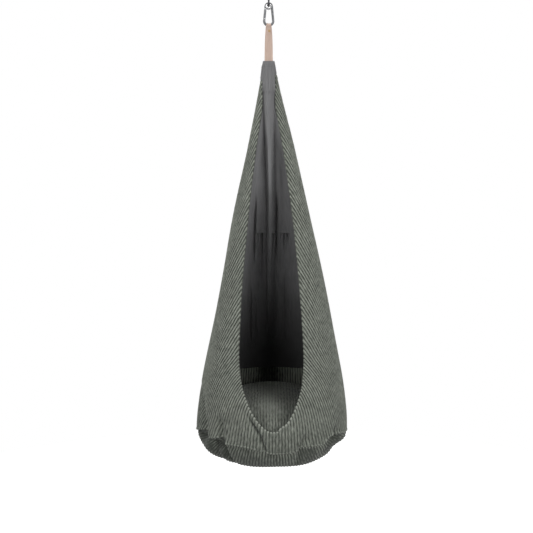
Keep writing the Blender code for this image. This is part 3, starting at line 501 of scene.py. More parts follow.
def cloth_grid(name, material, places, uv, rib=None, height=0.0, away=True, weld=0.00002):
    """A grid of cloth laid on places[row, column] and welded where it closes on itself. uv is in metres on
    the flat cloth. rib, 0 in a groove and 1 on a ridge, raises it by up to height. Its faces look away from
    the middle, or towards it."""
    rows, columns = places.shape[0] - 1, places.shape[1] - 1
    bm = bmesh.new()
    bmesh.ops.create_grid(bm, x_segments=columns, y_segments=rows, size=0.5)
    mesh = bpy.data.meshes.new(name)
    bm.to_mesh(mesh)
    flat = np.zeros(len(mesh.vertices) * 3)
    mesh.vertices.foreach_get("co", flat)
    flat = flat.reshape(-1, 3)
    i = np.rint((flat[:, 0] + 0.5) * columns).astype(int)
    j = np.rint((flat[:, 1] + 0.5) * rows).astype(int)
    mesh.vertices.foreach_set("co", places[j, i].ravel())
    corners = np.zeros(len(mesh.loops), int)
    mesh.loops.foreach_get("vertex_index", corners)
    mesh.uv_layers.new(name="cloth").data.foreach_set("uv", uv[j, i][corners].ravel())
    share = np.zeros(len(flat)) if rib is None else np.broadcast_to(rib, places.shape[:2])[j, i]
    mesh.attributes.new("rib", "FLOAT", "POINT").data.foreach_set("value", share)
    bm.clear()
    bm.from_mesh(mesh)
    bmesh.ops.remove_doubles(bm, verts=bm.verts, dist=weld)
    bmesh.ops.dissolve_degenerate(bm, edges=bm.edges, dist=0.000005)
    bm.normal_update()
    middle = sum((v.co for v in bm.verts), Vector()) / len(bm.verts)
    outward = sum(f.normal.x * (f.calc_center_median().x - middle.x)
                  + f.normal.y * (f.calc_center_median().y - middle.y) for f in bm.faces)
    if (outward > 0) != away:
        bmesh.ops.reverse_faces(bm, faces=bm.faces)
    bm.to_mesh(mesh)
    bm.free()
    if height:
        count = len(mesh.vertices)
        co, normal, share = np.zeros(count * 3), np.zeros(count * 3), np.zeros(count)
        mesh.vertices.foreach_get("co", co)
        mesh.vertex_normals.foreach_get("vector", normal)
        mesh.attributes["rib"].data.foreach_get("value", share)
        mesh.vertices.foreach_set("co", co + height * normal * np.repeat(share, 3))
    mesh.shade_smooth()
    if material:
        mesh.materials.append(material)
    return linked(name, mesh)


def run_length(line):
    """Distance along a line of points, from 0 at its start."""
    return np.concatenate([[0], np.cumsum(np.linalg.norm(np.diff(line, axis=0), axis=1))])


def weave_effect():
    """Woven cotton: threads both ways, slubs in the warp and stripes along the cloth. It has painted shade
    that darkens it towards the seat, and painted light where its rib attribute is set."""
    tree, given, out = effect("woven cotton", {
        "Light": (0.6, 0.5, 0.4, 1), "Dark": (0.5, 0.4, 0.3, 1), "Threads": 2000.0, "Stripes": 300.0,
        "Seat shade": 1.0, "Rubbed": 0.0})
    cloth = add(tree, "ShaderNodeUVMap", uv_map="cloth").outputs["UV"]
    split = add(tree, "ShaderNodeSeparateXYZ", {"Vector": cloth}).outputs

    def thread(axis):
        turn = add(tree, "ShaderNodeMath", {0: split[axis], 1: given["Threads"]}, operation="MULTIPLY")
        return add(tree, "ShaderNodeMath", {0: turn.outputs[0]}, operation="SINE").outputs[0]

    height = add(tree, "ShaderNodeMath", {0: thread("X"), 1: thread("Y")}, operation="MULTIPLY").outputs[0]
    slub = noise(tree, stretched(tree, cloth, (1.0, 0.04, 1.0)), given["Stripes"], 4.0)
    mixed = times_plus(tree, noise(tree, cloth, 18.0, 3.0), 0.3, times_plus(tree, slub, 0.7, 0.0))
    share = ranged(tree, times_plus(tree, height, 0.06, mixed), 0.32, 0.68)
    # Painted shade: the colour darkens towards the seat. Painted light: the rib attribute lightens it.
    from_seat = add(tree, "ShaderNodeVectorMath", {0: cloth, 1: (0.0, -1.33, 0.0)}, operation="DISTANCE")
    painted_seat_shade = ranged(tree, from_seat.outputs["Value"], 0.08, 0.34, given["Seat shade"])
    painted_light_share = add(tree, "ShaderNodeAttribute", attribute_name="rib").outputs["Fac"]
    tone = times_plus(tree, painted_light_share, given["Rubbed"], painted_seat_shade)
    put_out(tree, out, Colour=scaled(tree, blended(tree, share, given["Dark"], given["Light"]), tone),
            Roughness=times_plus(tree, slub, 0.15, 0.78), Height=height)
    return tree


woven_cotton = weave_effect()
webbing_cotton = finish("sand cotton webbing", woven_cotton, {
    "Light": (0.82, 0.64, 0.54, 1), "Dark": (0.64, 0.47, 0.39, 1), "Threads": 5200.0, "Stripes": 420.0,
}, bump=0.0003, specular_ior_level=0.2, sheen_weight=0.25)


def webbing_strap():
    """The strap's middle surface, from one tail over the bar to the other."""
    wrap = HOOK_BAR_RADIUS + WEB_SLIP + WEB_THICKNESS / 2
    layer = WEB_THICKNESS / 2 + 0.00015
    neck_z = HOOK_BAR_Z - WEB_NECK_DROP
    tail_z = CROWN_Z - WEB_TAIL_DEPTH
    leave = math.atan2(layer, WEB_NECK_DROP) + math.acos(wrap / math.hypot(layer, WEB_NECK_DROP))
    across = np.linspace(-1, 1, YARNS * 4 + 1)

    def tail(side):
        rows = []
        for z in np.linspace(neck_z, tail_z, 80):
            wide = WEB_NARROW + WEB_WIDENS * (1 - math.exp((z - HOOK_BAR_Z) / WEB_WIDENS_OVER))
            ripple = 0.0003 * np.cos(across * 7 + 1) * math.exp((z - neck_z) / 0.02)
            rows.append(np.stack([across * wide / 2, side * (layer + ripple), np.full_like(across, z)], 1))
        return rows

    def saddle(turn):
        spread = across * WEB_SPREAD
        inward = np.stack([-np.sin(spread), 0 * spread, np.cos(spread)], 1)
        centre = np.array([0, 0, WIDE_Z]) - WIDE_RADIUS * inward
        loose = (wrap + WEB_EDGE_LIFT * across**2)[:, None]
        return centre - loose * (math.cos(turn) * inward + math.sin(turn) * np.array([0, 1, 0]))

    over = [saddle(turn) for turn in np.linspace(leave, 2 * math.pi - leave, 25)]
    front, back = tail(-1), tail(1)
    down = [over[0] + (front[0] - over[0]) * share for share in np.linspace(0, 1, 9)[1:-1]]
    up = [over[-1] + (back[0] - over[-1]) * share for share in np.linspace(0, 1, 9)[1:-1]]
    places = np.array(front[::-1] + down[::-1] + over + up + back)
    length = run_length(places[:, YARNS * 2])
    uv = np.stack(np.broadcast_arrays(across[None, :] * WEB_WIDTH / 2, length[:, None]), 2)
    yarn = np.abs(np.sin(across * YARNS * math.pi / 2))[None, :]
    strap = cloth_grid("webbing_strap", webbing_cotton, places, uv, yarn, YARN_HEIGHT, weld=0.0000001)
    thick = strap.modifiers.new("thickness", "SOLIDIFY")
    thick.thickness = WEB_THICKNESS * 0.9
    thick.offset = 0
    return strap, length[-1]


strap, strap_length = webbing_strap()
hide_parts("webbing_loop")
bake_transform(strap)


TACK_LEFT, TACK_RIGHT, TACK_OUT = -0.0022, 0.0060, 0.0024
TACK_TOP, TACK_STEP, TACK_SLANT, TACK_TURNS = -0.1452, 0.0009, 0.0004, 9


def thread_stitches(name, finish_of, runs, radius):
    """Stitches of thread, each a slim bead of thread between two points on the cloth."""
    bm = bmesh.new()
    for start, end in runs:
        start, end = Vector(start), Vector(end)
        turn = (end - start).to_track_quat("Z", "Y").to_matrix().to_4x4()
        shape = Matrix.Translation((start + end) / 2) @ turn @ Matrix.Diagonal(
            (radius, radius, (end - start).length / 2, 1))
        bmesh.ops.create_uvsphere(bm, u_segments=8, v_segments=6, radius=1.0, matrix=shape)
    mesh = bpy.data.meshes.new(name)
    bm.to_mesh(mesh)
    bm.free()
    mesh.shade_smooth()
    mesh.materials.append(finish_of)
    return linked(name, mesh)


def thread_effect():
    """Twisted thread: fine turns of two plies and a little colour change."""
    tree, given, out = effect("twisted thread", {"Light": (0.6, 0.5, 0.4, 1), "Dark": (0.5, 0.4, 0.3, 1)})
    here = add(tree, "ShaderNodeTexCoord").outputs["Object"]
    ply = add(tree, "ShaderNodeTexWave", {"Vector": here, "Scale": 900.0, "Distortion": 2.0},
              bands_direction="DIAGONAL").outputs["Fac"]
    put_out(tree, out, Colour=blended(tree, ply, given["Dark"], given["Light"]),
            Roughness=times_plus(tree, ply, 0.1, 0.6), Height=ply)
    return tree


twisted_thread = thread_effect()
tack_thread = finish("straw coloured thread", twisted_thread, {
    "Light": (0.72, 0.50, 0.27, 1), "Dark": (0.50, 0.33, 0.17, 1),
}, bump=0.0002, specular_ior_level=0.3)
tack_rows = []
for side in (-TACK_OUT, TACK_OUT):
    for i in range(TACK_TURNS):
        height = TACK_TOP - TACK_STEP * i
        tack_rows.append(((TACK_LEFT, side, height), (TACK_RIGHT, side, height - TACK_SLANT)))
tack = thread_stitches("webbing_tack", tack_thread, tack_rows, 0.0006)
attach(tack, "strap")


# Crown collar. The gathered end of the cotton lining, wrapped round the webbing's tails and sewn
# through them. It also carries the form of the whole pod, which every layer of cloth follows.

WALL_LENGTH = 1.2377
POD_HALF_WIDTH = 0.2575
CROWN_HALF_WIDTH = 0.0198
WALL_FORM = ((0.0, 0.0769), (0.045, 0.109), (0.109, 0.171), (0.239, 0.313), (0.456, 0.544),
             (0.677, 0.751), (0.855, 0.926), (0.946, 0.988), (1.0, 1.0))
ROUNDING_Z = CROWN_Z - WALL_LENGTH
BOTTOM_ROUNDING = 0.092
SEAM_ANGLE = math.radians(15)
SEAM_Z = ROUNDING_Z - BOTTOM_ROUNDING * math.sin(SEAM_ANGLE)
LIP_Z = ROUNDING_Z + 0.0479
COLLAR_LENGTH = 0.0445
PANEL_TOP = CROWN_Z - COLLAR_LENGTH - 0.0003
OPENING_WIDE_Z = ROUNDING_Z + 0.2952
CREASES = (
    (((-86, -1.330), (-75, -1.354), (-66, -1.376), (-59, -1.4415), (-57, -1.479), (-52, -1.522),
      (-47, -1.554)), 0.0230, 0.045, 0.005),
    (((-42, -1.395), (-38.5, -1.455), (-37.5, -1.500), (-34, -1.550)), 0.0190, 0.024, 0.005),
    (((-18, -1.392), (-12, -1.430), (-8.0, -1.457), (-4.5, -1.495)), 0.0115, 0.012, 0.0040),
    (((25, -1.440), (19.6, -1.502), (19.7, -1.545)), 0.0120, 0.005, 0.024),
    (((49.7, -1.435), (52.7, -1.486), (48, -1.500), (46, -1.540)), 0.0160, 0.005, 0.026),
)
POCKETS = ((-70, 8.0, 0.026), (-48, 8.5, 0.034), (-24, 9, 0.003), (27, 6.5, 0.010), (56, 9, 0.014))
OPENING_TOP = ((-0.54, 39, 32), (-0.47, 38, 29), (-0.405, 35, 25), (-0.37, 40, 29), (-0.33, 52, 44),
               (-0.285, 62, 58))
SEAM_LINE = (
    (-150, -1.5060), (-120, -1.5100), (-92, -1.5000), (-75, -1.4820), (-60.5, -1.4670), (-56.5, -1.4890),
    (-50, -1.4850), (-39.5, -1.4720), (-36.5, -1.4930), (-30.5, -1.4915),
    (-22, -1.4933), (-15, -1.4965), (-9.3, -1.5028), (-4, -1.5088), (1.5, -1.5125), (9.8, -1.5123),
    (15.4, -1.5100), (23, -1.4963), (40, -1.4973), (46.4, -1.4743), (62, -1.4788), (92, -1.5000),
    (120, -1.5085), (150, -1.5050), (180, -1.5095),
)


def unit(vectors):
    """The vectors at length 1."""
    return vectors / np.linalg.norm(vectors, axis=-1, keepdims=True)


def from_front(angle):
    """The angle from the front, less than half a turn either way."""
    return (np.asarray(angle) + math.pi) % (2 * math.pi) - math.pi


def seam_height(angle):
    """Height of the round seam, which the folds pull up here and there."""
    turns, heights = zip(*SEAM_LINE)
    turn = np.degrees(angle)
    near = [np.interp(turn + off, turns, heights, period=360) for off in (-1.6, -0.8, 0, 0.8, 1.6)]
    return sum(near) / len(near)


def half_width(z):
    """Half width of the pod at each height: a smooth curve through the form, then the bottom's rounding."""
    z = np.asarray(z, float)
    heights = np.array([CROWN_Z - drop * WALL_LENGTH for drop, share in WALL_FORM])
    widths = np.array([share * POD_HALF_WIDTH for drop, share in WALL_FORM])
    widths[0] = CROWN_HALF_WIDTH
    slopes = np.zeros(len(heights))
    slopes[1:-1] = (widths[2:] - widths[:-2]) / (heights[2:] - heights[:-2])
    slopes[0] = (widths[1] - widths[0]) / (heights[1] - heights[0])
    i = np.clip(np.searchsorted(-heights, -z, side="right") - 1, 0, len(heights) - 2)
    span = heights[i + 1] - heights[i]
    t = (z - heights[i]) / span
    wall = ((2 * t**3 - 3 * t**2 + 1) * widths[i] + (t**3 - 2 * t**2 + t) * span * slopes[i]
            + (3 * t**2 - 2 * t**3) * widths[i + 1] + (t**3 - t**2) * span * slopes[i + 1])
    low = np.sqrt(np.maximum(0, BOTTOM_ROUNDING**2 - (z - ROUNDING_Z) ** 2))
    return np.where(z < ROUNDING_Z, POD_HALF_WIDTH - BOTTOM_ROUNDING + low, wall)


def opening_angle(z, left):
    """Angle from the front to the opening's edge, 0 at the lip and below."""
    z = np.asarray(z, float)
    limit, curve, power = (0.121, 1.7, 0.497) if left else (0.107, 2.0, 0.45)
    heights, lefts, rights = zip(*OPENING_TOP)
    wide = np.radians(np.interp(z, heights, lefts if left else rights))
    round_off = np.clip((OPENING_WIDE_Z - z) / (OPENING_WIDE_Z - LIP_Z), 0, 1)
    limit = np.maximum(limit * (1 - round_off**curve) ** power, 0.000001)
    half = half_width(z)
    edge = ((wide * half) ** -8 + limit**-8) ** (-1 / 8) / half
    return np.where(z > LIP_Z, edge, 0.0)


def lean(z):
    """How far the pod's middle stands to the right of the hook at each height."""
    return 0.014 * np.sin(math.pi * np.clip(CROWN_Z - z, 0, 1.75) / 1.75)


def crease_turn(path, z):
    """Degrees from the front at which a crease runs at each height."""
    turns, heights = zip(*path[::-1])
    return np.interp(z, heights, turns)


def press(angle, z):
    """How far the creases of the loaded cloth press it in. Each runs through its points, has a gentle side
    and a steep one, and fades at both ends."""
    depth = 0.0
    turn = np.degrees(from_front(angle))
    for path, deep, left, right in CREASES:
        off = np.radians(turn - crease_turn(path, z)) * POD_HALF_WIDTH
        off = off / np.where(off < 0, left, right)
        ends = soft((path[0][1] - z) / 0.035) * soft((z - path[-1][1] + 0.03) / 0.03)
        depth = depth + deep * np.exp(-off**2) * ends
    slack_side = np.exp(-(((turn - 66) / 27) ** 2)) * soft((-1.503 - z) / 0.045) * soft((z + 1.5772) / 0.018)
    depth = depth + 0.019 * slack_side
    below = seam_height(angle) - z
    under_seam = soft(below / 0.014) * soft((0.072 - below) / 0.054)
    for middle, wide, deep in POCKETS:
        depth = depth + deep * np.exp(-(((turn - middle) / wide) ** 2)) * under_seam
    return depth


def wall_surface(angle, z):
    """The pod's outer surface without creases. Towards the crown it gets flatter and squarer."""
    below = np.maximum(CROWN_Z - z, 0)
    depth = 1 - 0.669 * np.exp(-below / 0.16)
    power = 2 / (2 + 3.5 * np.exp(-below / 0.02))
    half = half_width(z)
    s, c = np.sin(angle), np.cos(angle)
    x = np.sign(s) * np.abs(s) ** power * half
    y = np.sign(c) * np.abs(c) ** power * half * depth
    return np.stack([lean(z) + x, -y, z + 0 * x], -1)


def wall_point(angle, z, inset):
    """A point that far inside the pod's outer surface, square to it, with the creases pressed in."""
    angle, z = np.broadcast_arrays(np.asarray(angle, float), np.asarray(z, float))
    along = wall_surface(angle + 0.002, z) - wall_surface(angle - 0.002, z)
    down = wall_surface(angle, z - 0.002) - wall_surface(angle, z + 0.002)
    normal = unit(np.cross(down, along))
    return wall_surface(angle, z) - normal * (np.asarray(inset) + press(angle, z))[..., None]


# Painted shade darkens the lining towards the seat, and painted light lightens it where its rib attribute is
# set.
lining_cotton = finish("dark grey lining cotton", woven_cotton, {
    "Light": (0.205, 0.205, 0.208, 1), "Dark": (0.150, 0.150, 0.153, 1), "Threads": 7000.0, "Stripes": 500.0,
    "Seat shade": 0.25, "Rubbed": 0.28,
}, bump=0.00006, specular_ior_level=0.25, sheen_weight=0.15)


def panel_edge(angle):
    """Height of the corduroy's top edge, which dips at the left of the front."""
    turn = from_front(angle)
    left_dip = 0.024 * np.exp(-(((turn + 1.1) / 0.75) ** 2))
    return PANEL_TOP - left_dip - 0.003 * np.exp(-(((turn - 1.2) / 0.5) ** 2))


def tucked(turn, z):
    """How far the lining goes in to pass under the corduroy's edge at the opening."""
    reach = np.where(turn < 0, opening_angle(z, True), opening_angle(z, False))
    return 0.0053 * soft((np.abs(turn) - reach) / 0.15 + 1)


def pleats(turn):
    """Depth of the small pleats that the gathering makes round the crown."""
    pleat = 0.5 + 0.5 * np.cos(14 * turn + 1.3 * np.sin(3 * turn) + 0.5)
    return 0.0018 * pleat + 0.0006 * (0.5 + 0.5 * np.cos(31 * turn + 2.0))


STRIP_WIDTH = 0.0238
LONG_FOLDS = (
    (-0.0440, -0.0560, -0.68, -0.96, 0.0040, 0.016), (0.0290, 0.0275, -0.66, -0.945, 0.0042, 0.020),
    (-0.0265, -0.0310, -0.85, -1.04, 0.0080, 0.012), (0.0585, 0.0600, -0.95, -1.12, 0.0080, 0.006),
    (-0.0650, -0.0690, -0.98, -1.28, 0.0050, 0.014), (0.0254, 0.0254, -1.00, -1.22, 0.0060, 0.009),
    (0.0650, 0.0630, -0.90, -1.25, 0.0070, 0.009), (-0.0480, -0.0500, -1.02, -1.25, 0.0050, 0.008),
)
STRIP_LEFT = (
    (-1.20, -0.0065), (-0.95, -0.0045), (-0.80, -0.0020), (-0.70, -0.0018), (-0.542, -0.0065),
    (-0.419, -0.0113), (-0.30, -0.0118),
)


def strip_left(z):
    """Place of the main fold's left edge at each height."""
    heights, lefts = zip(*STRIP_LEFT)
    return np.interp(z, heights, lefts)


def hanging_pleats(x, z):
    """How far the lining's long folds stand forward. The main one is a flat strip between two narrow
    valleys."""
    left = strip_left(z)
    right = left + STRIP_WIDTH
    strip = soft((x - left) / 0.008 + 0.5) * soft((right - x) / 0.022 + 0.4)
    sides = np.exp(-(((x - left + 0.0045) / 0.0035) ** 2)) + np.exp(-(((x - right - 0.0045) / 0.0035) ** 2))
    size = 0.35 + 0.65 * soft((-0.36 - z) / 0.25)
    grow = soft((-0.297 - z) / 0.06) * soft((z + 1.28) / 0.45)
    wave = 0.0032 * np.sin(95 * x + 3 * z) + 0.0026 * np.sin(170 * x - 2 * z + 1)
    forward = grow * size * (0.032 * strip - (0.003 + 0.005 * soft((z + 0.62) / 0.14)) * sides + wave)
    for top_x, low_x, top, low, wide, deep in LONG_FOLDS:
        share = np.clip((top - z) / (top - low), 0, 1)
        fold = np.exp(-(((x - top_x - (low_x - top_x) * share) / wide) ** 2))
        forward = forward - deep * fold * soft(share * 3) * soft((1 - share) * 3)
    return forward


def clear_of_edge(share, z):
    """0 at the opening's edges and 1 away from them, for the folds to fade in. share is -1 to 1 across."""
    return soft((1 - np.abs(share)) * math.pi * half_width(z) / 0.03)


def collar_point(turn, z, inset):
    """A point of the collar, with its pleats, its edge under the corduroy and the folds that start in it."""
    under = tucked(turn, z) * soft((panel_edge(turn) + 0.005 - z) / 0.007)
    fold = pleats(turn) * (0.25 + 0.75 * soft((CROWN_Z - z) / COLLAR_LENGTH))
    swell = (0.0014 - 0.0010 * np.sin(turn)) * soft((CROWN_Z - z - 0.004) / 0.018) * soft((z + 0.330) / 0.02)
    place = wall_point(turn, z, np.where(inset < 0.004, inset + fold - swell, inset) + under)
    share = turn / np.where(turn < 0, opening_angle(z, True), opening_angle(z, False))
    place[..., 1] -= hanging_pleats(place[..., 0], z) * clear_of_edge(np.clip(share, -1, 1), z)
    return place


def crown_collar():
    """The collar from inside the crown over its rolled top and down to its edge under the corduroy."""
    turn = np.linspace(-math.pi, math.pi, 321)[None, :]
    front = soft((1.45 - np.abs(turn)) / 0.5)
    drops = [0.012, 0.004, -0.0005, -0.0003, 0.0, 0.0006, 0.0018]
    insets = [0.0042, 0.0042, 0.0039, 0.0032, 0.0020, 0.0008, 0.0002]
    rows = [collar_point(turn, CROWN_Z - drop + 0 * turn, inset) for drop, inset in zip(drops, insets)]
    for share in np.linspace(0, 1, 41)[1:]:
        drops.append(0.0018 + share * (0.106 - 0.0018))
        rows.append(collar_point(turn, CROWN_Z - 0.0018 - share * (0.0702 + 0.034 * front), 0.0))
    places = np.concatenate(rows)
    uv = np.stack(np.broadcast_arrays(turn * 0.022, np.array(drops)[:, None]), 2)
    return cloth_grid("collar_cloth", lining_cotton, places, uv)


collar = crown_collar()
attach(collar, "pod")
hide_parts("crown_collar")

dark_thread = finish("dark grey thread", twisted_thread, {
    "Light": (0.11, 0.11, 0.115, 1), "Dark": (0.06, 0.06, 0.063, 1),
}, bump=0.0002, specular_ior_level=0.3)
STITCH_ROWS, STITCH_STEP, STITCH_LENGTH, STITCH_OUT = (-0.2620, -0.2680), 0.0041, 0.0029, 0.0004
collar_rows = []
for height in STITCH_ROWS:
    turn = np.linspace(-math.pi, math.pi, 1441)
    line = collar_point(turn, height + 0 * turn, -STITCH_OUT)
    length = run_length(line)
    for start in np.arange(0.0, length[-1] - 0.003, STITCH_STEP):
        ends = start, start + STITCH_LENGTH
        collar_rows.append([[np.interp(at, length, line[:, k]) for k in range(3)] for at in ends])
collar_stitches = thread_stitches("collar_stitches", dark_thread, collar_rows, 0.00045)
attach(collar_stitches, "pod")


# Outer panel. One piece of wide-rib corduroy, cut with its ribs along the centre back, wrapped round
# to the front and hemmed along the opening. Its folds are those of cloth that hangs under load.

RIB = 0.010
RIB_HEIGHT = 0.003
RIB_BASE = RIB_HEIGHT - 0.0006
STRANDS = 8
PANEL_RIBS = 80
RIB_APEX_Z = -0.170
RIB_CONE = 0.2055
SEAM_TUCK = ((0.0, 0.0044), (0.0004, 0.0016), (0.0014, -0.0006), (0.0035, -0.0012))
HEM_STEPS = (0.0012, 0.0024, 0.0036, 0.0048, 0.0060, 0.0095, 0.0150)
# Rib scale of the hem's last rows, low on the lip and high up. It sets the rows' rib height and paints light
# on them: a painted highlight on the rolled edge low on the lip, and painted shade on the rows turned in
# behind it.
HEM_PAINTED_LIGHT_LOW = (1.35, 1.40, 1.0, 0.4, 0.1, 0.0, 0.0, 0.0)
HEM_PAINTED_LIGHT_HIGH = (0.85, 0.6, 0.45, 0.35, 0.3, 0.25, 0.2, 0.2)
FOLD_CREASE, LIP_CREASE = CREASES[0][0], CREASES[2][0]


def corduroy_effect():
    """Wide-rib corduroy: light ridges, dark grooves, slubs along the ribs and a short pile. The rib attribute
    that picks ridge or groove colour also carries painted light and shade on several pieces.
    """
    tree, given, out = effect("corduroy", {
        "Ridge": (0.3, 0.3, 0.3, 1), "Groove": (0.1, 0.1, 0.1, 1), "Slub": 0.5})
    cloth = add(tree, "ShaderNodeUVMap", uv_map="cloth").outputs["UV"]
    high = add(tree, "ShaderNodeAttribute", attribute_name="rib").outputs["Fac"]
    along_rib = stretched(tree, cloth, (1.0, 0.16, 1.0))
    slub = noise(tree, along_rib, 330.0, 3.0)
    fine = noise(tree, cloth, 1400.0, 3.0)
    lift = times_plus(tree, ranged(tree, slub, 0.32, 0.68, -0.5, 0.5), given["Slub"], high)
    share = ranged(tree, times_plus(tree, fine, 0.5, lift), 0.55, 1.35)
    tone = ranged(tree, noise(tree, cloth, 14.0, 3.0), 0.3, 0.7, 0.90, 1.10)
    put_out(tree, out, Colour=scaled(tree, blended(tree, share, given["Groove"], given["Ridge"]), tone),
            Roughness=times_plus(tree, fine, 0.12, 0.82),
            Height=times_plus(tree, noise(tree, along_rib, 2600.0, 2.0), 0.5, slub))
    return tree


corduroy_weave = corduroy_effect()
corduroy = finish("olive grey corduroy", corduroy_weave, {
    "Ridge": (0.310, 0.330, 0.285, 1), "Groove": (0.052, 0.058, 0.048, 1), "Slub": 0.55,
}, bump=0.0006, specular_ior_level=0.15, sheen_weight=0.15, sheen_roughness=0.6)


def rib_place(back, z):
    """How far a point of the wall lies across the ribs from the centre back. back is its angle from there.
    The ribs follow the cloth's grain, and come straight down again in the middle of the front."""
    across = (RIB_APEX_Z - z) * 1.022 * np.sin(back * RIB_CONE)
    near = soft(1 - (math.pi - back) / math.radians(75))
    low = soft((-1.200 - z) / (-1.200 - LIP_Z))
    straight = PANEL_RIBS * RIB - (math.pi - back) * half_width(z)
    return across + near * low * (straight - across)


def rib_profile(across, pitch=RIB):
    """Height of a rib, from 0 in the groove to 1 on its rounded top."""
    return np.abs(np.sin(math.pi * across / pitch)) ** 0.9


def painted_fold_shade(angle, z):
    """Painted shade on the corduroy: the share of its colour kept next to the first crease, in the pockets
    under the seam, in a dark line next to the lip's crease, low at the front and just under the seam. It also
    lowers the ribs there.
    """
    turn = np.degrees(from_front(angle))
    behind = soft((crease_turn(FOLD_CREASE, z) - turn) / 4)
    behind = behind * soft((-1.28 - z) / 0.14) * soft((turn + 145) / 60)
    below = seam_height(angle) - z
    shaded = 0.0
    for middle, wide, deep in POCKETS:
        shaded = shaded + min(deep / 0.024, 1) * soft(1.6 - np.abs(turn - middle - 60 * below) / wide)
    shaded = shaded * soft(below / 0.006) * soft((0.085 - below) / 0.03)
    # Painted shade: a dark line next to the lip's crease.
    beside_lip = np.radians(turn - crease_turn(LIP_CREASE, z)) * POD_HALF_WIDTH / 0.0055
    groove = soft((LIP_CREASE[0][1] + 0.010 - z) / 0.02) * soft((z - LIP_CREASE[-1][1]) / 0.06)
    groove = np.exp(-(beside_lip**2)) * groove
    front = 0.12 * np.exp(-((turn / 30) ** 2)) * soft((LIP_Z - 0.008 - z) / 0.02)
    under = 0.20 * soft(below / 0.01) * soft((110 - np.abs(turn)) / 20)
    # Painted shade: the corduroy is darkened, down to 0.40 of its colour, in these folds, pockets and
    # hollows, and its ribs are lowered with it.
    pile = 1 - 0.20 * behind * (below < 0) - 0.70 * np.minimum(shaded, 1) - front - under - 0.55 * groove
    return np.maximum(pile, 0.40)


def hanging_folds(angle, z):
    """Long soft waves of the hanging cloth. Positive is inwards."""
    turn = from_front(angle)
    wave = 0.0012 * np.sin(5 * turn + 9 * z + 0.6) + 0.0009 * np.sin(9 * turn - 14 * z + 2.1)
    return wave * soft((CROWN_Z - z) / 0.3)


def back_angle(across, z):
    """Angle from the centre back at which a rib stands at a height."""
    low, high = np.zeros_like(z), np.full_like(z, math.pi)
    for _ in range(34):
        middle = (low + high) / 2
        short = rib_place(middle, z) < across
        low, high = np.where(short, middle, low), np.where(short, high, middle)
    return (low + high) / 2


def panel_top(across, side):
    """Height of the panel's top end at each place across the ribs: the crown, the opening's edge, the lip."""
    heights = np.linspace(PANEL_TOP, LIP_Z + 0.0001, 900)
    tops = []
    for left in (False, True):
        reach = np.maximum.accumulate(rib_place(math.pi - opening_angle(heights, left), heights))
        reach[-1] = PANEL_RIBS * RIB
        tops.append(np.interp(np.abs(across), reach, heights))
    top = np.where(across < 0, tops[1], tops[0])
    for _ in range(3):
        top = np.minimum(top, panel_edge(math.pi - side * back_angle(np.abs(across), top)))
    from_lip = across * side - PANEL_RIBS * RIB
    kink = np.exp(-(((from_lip + 0.030) / 0.010) ** 2)) - 0.35 * np.exp(-(((from_lip + 0.017) / 0.006) ** 2))
    return top + 0.0055 * kink * (across > 0) - 0.007 * np.exp(-((from_lip / 0.035) ** 2))


def turned_hem(edge, before, normal):
    """Rows of the hem, which rolls inwards from the edge and then lies flat behind it."""
    along = np.gradient(edge, axis=0)
    smooth = np.ones(5) / 5
    along = np.stack([np.convolve(np.pad(along[:, k], 2, mode="edge"), smooth, "valid") for k in range(3)], 1)
    on = np.cross(unit(along), normal)
    on *= np.sign(np.sum(on * (edge - before), axis=1, keepdims=True))
    roll = (0.0012 + 0.0010 * soft((-1.37 - edge[:, 2]) / 0.05))[:, None]
    rows = []
    for step in HEM_STEPS:
        a = np.minimum(step / roll, math.pi)
        rows.append(edge + roll * np.sin(a) * on - roll * (1 - np.cos(a)) * normal
                    - np.maximum(0.0, step - math.pi * roll) * on)
    return rows


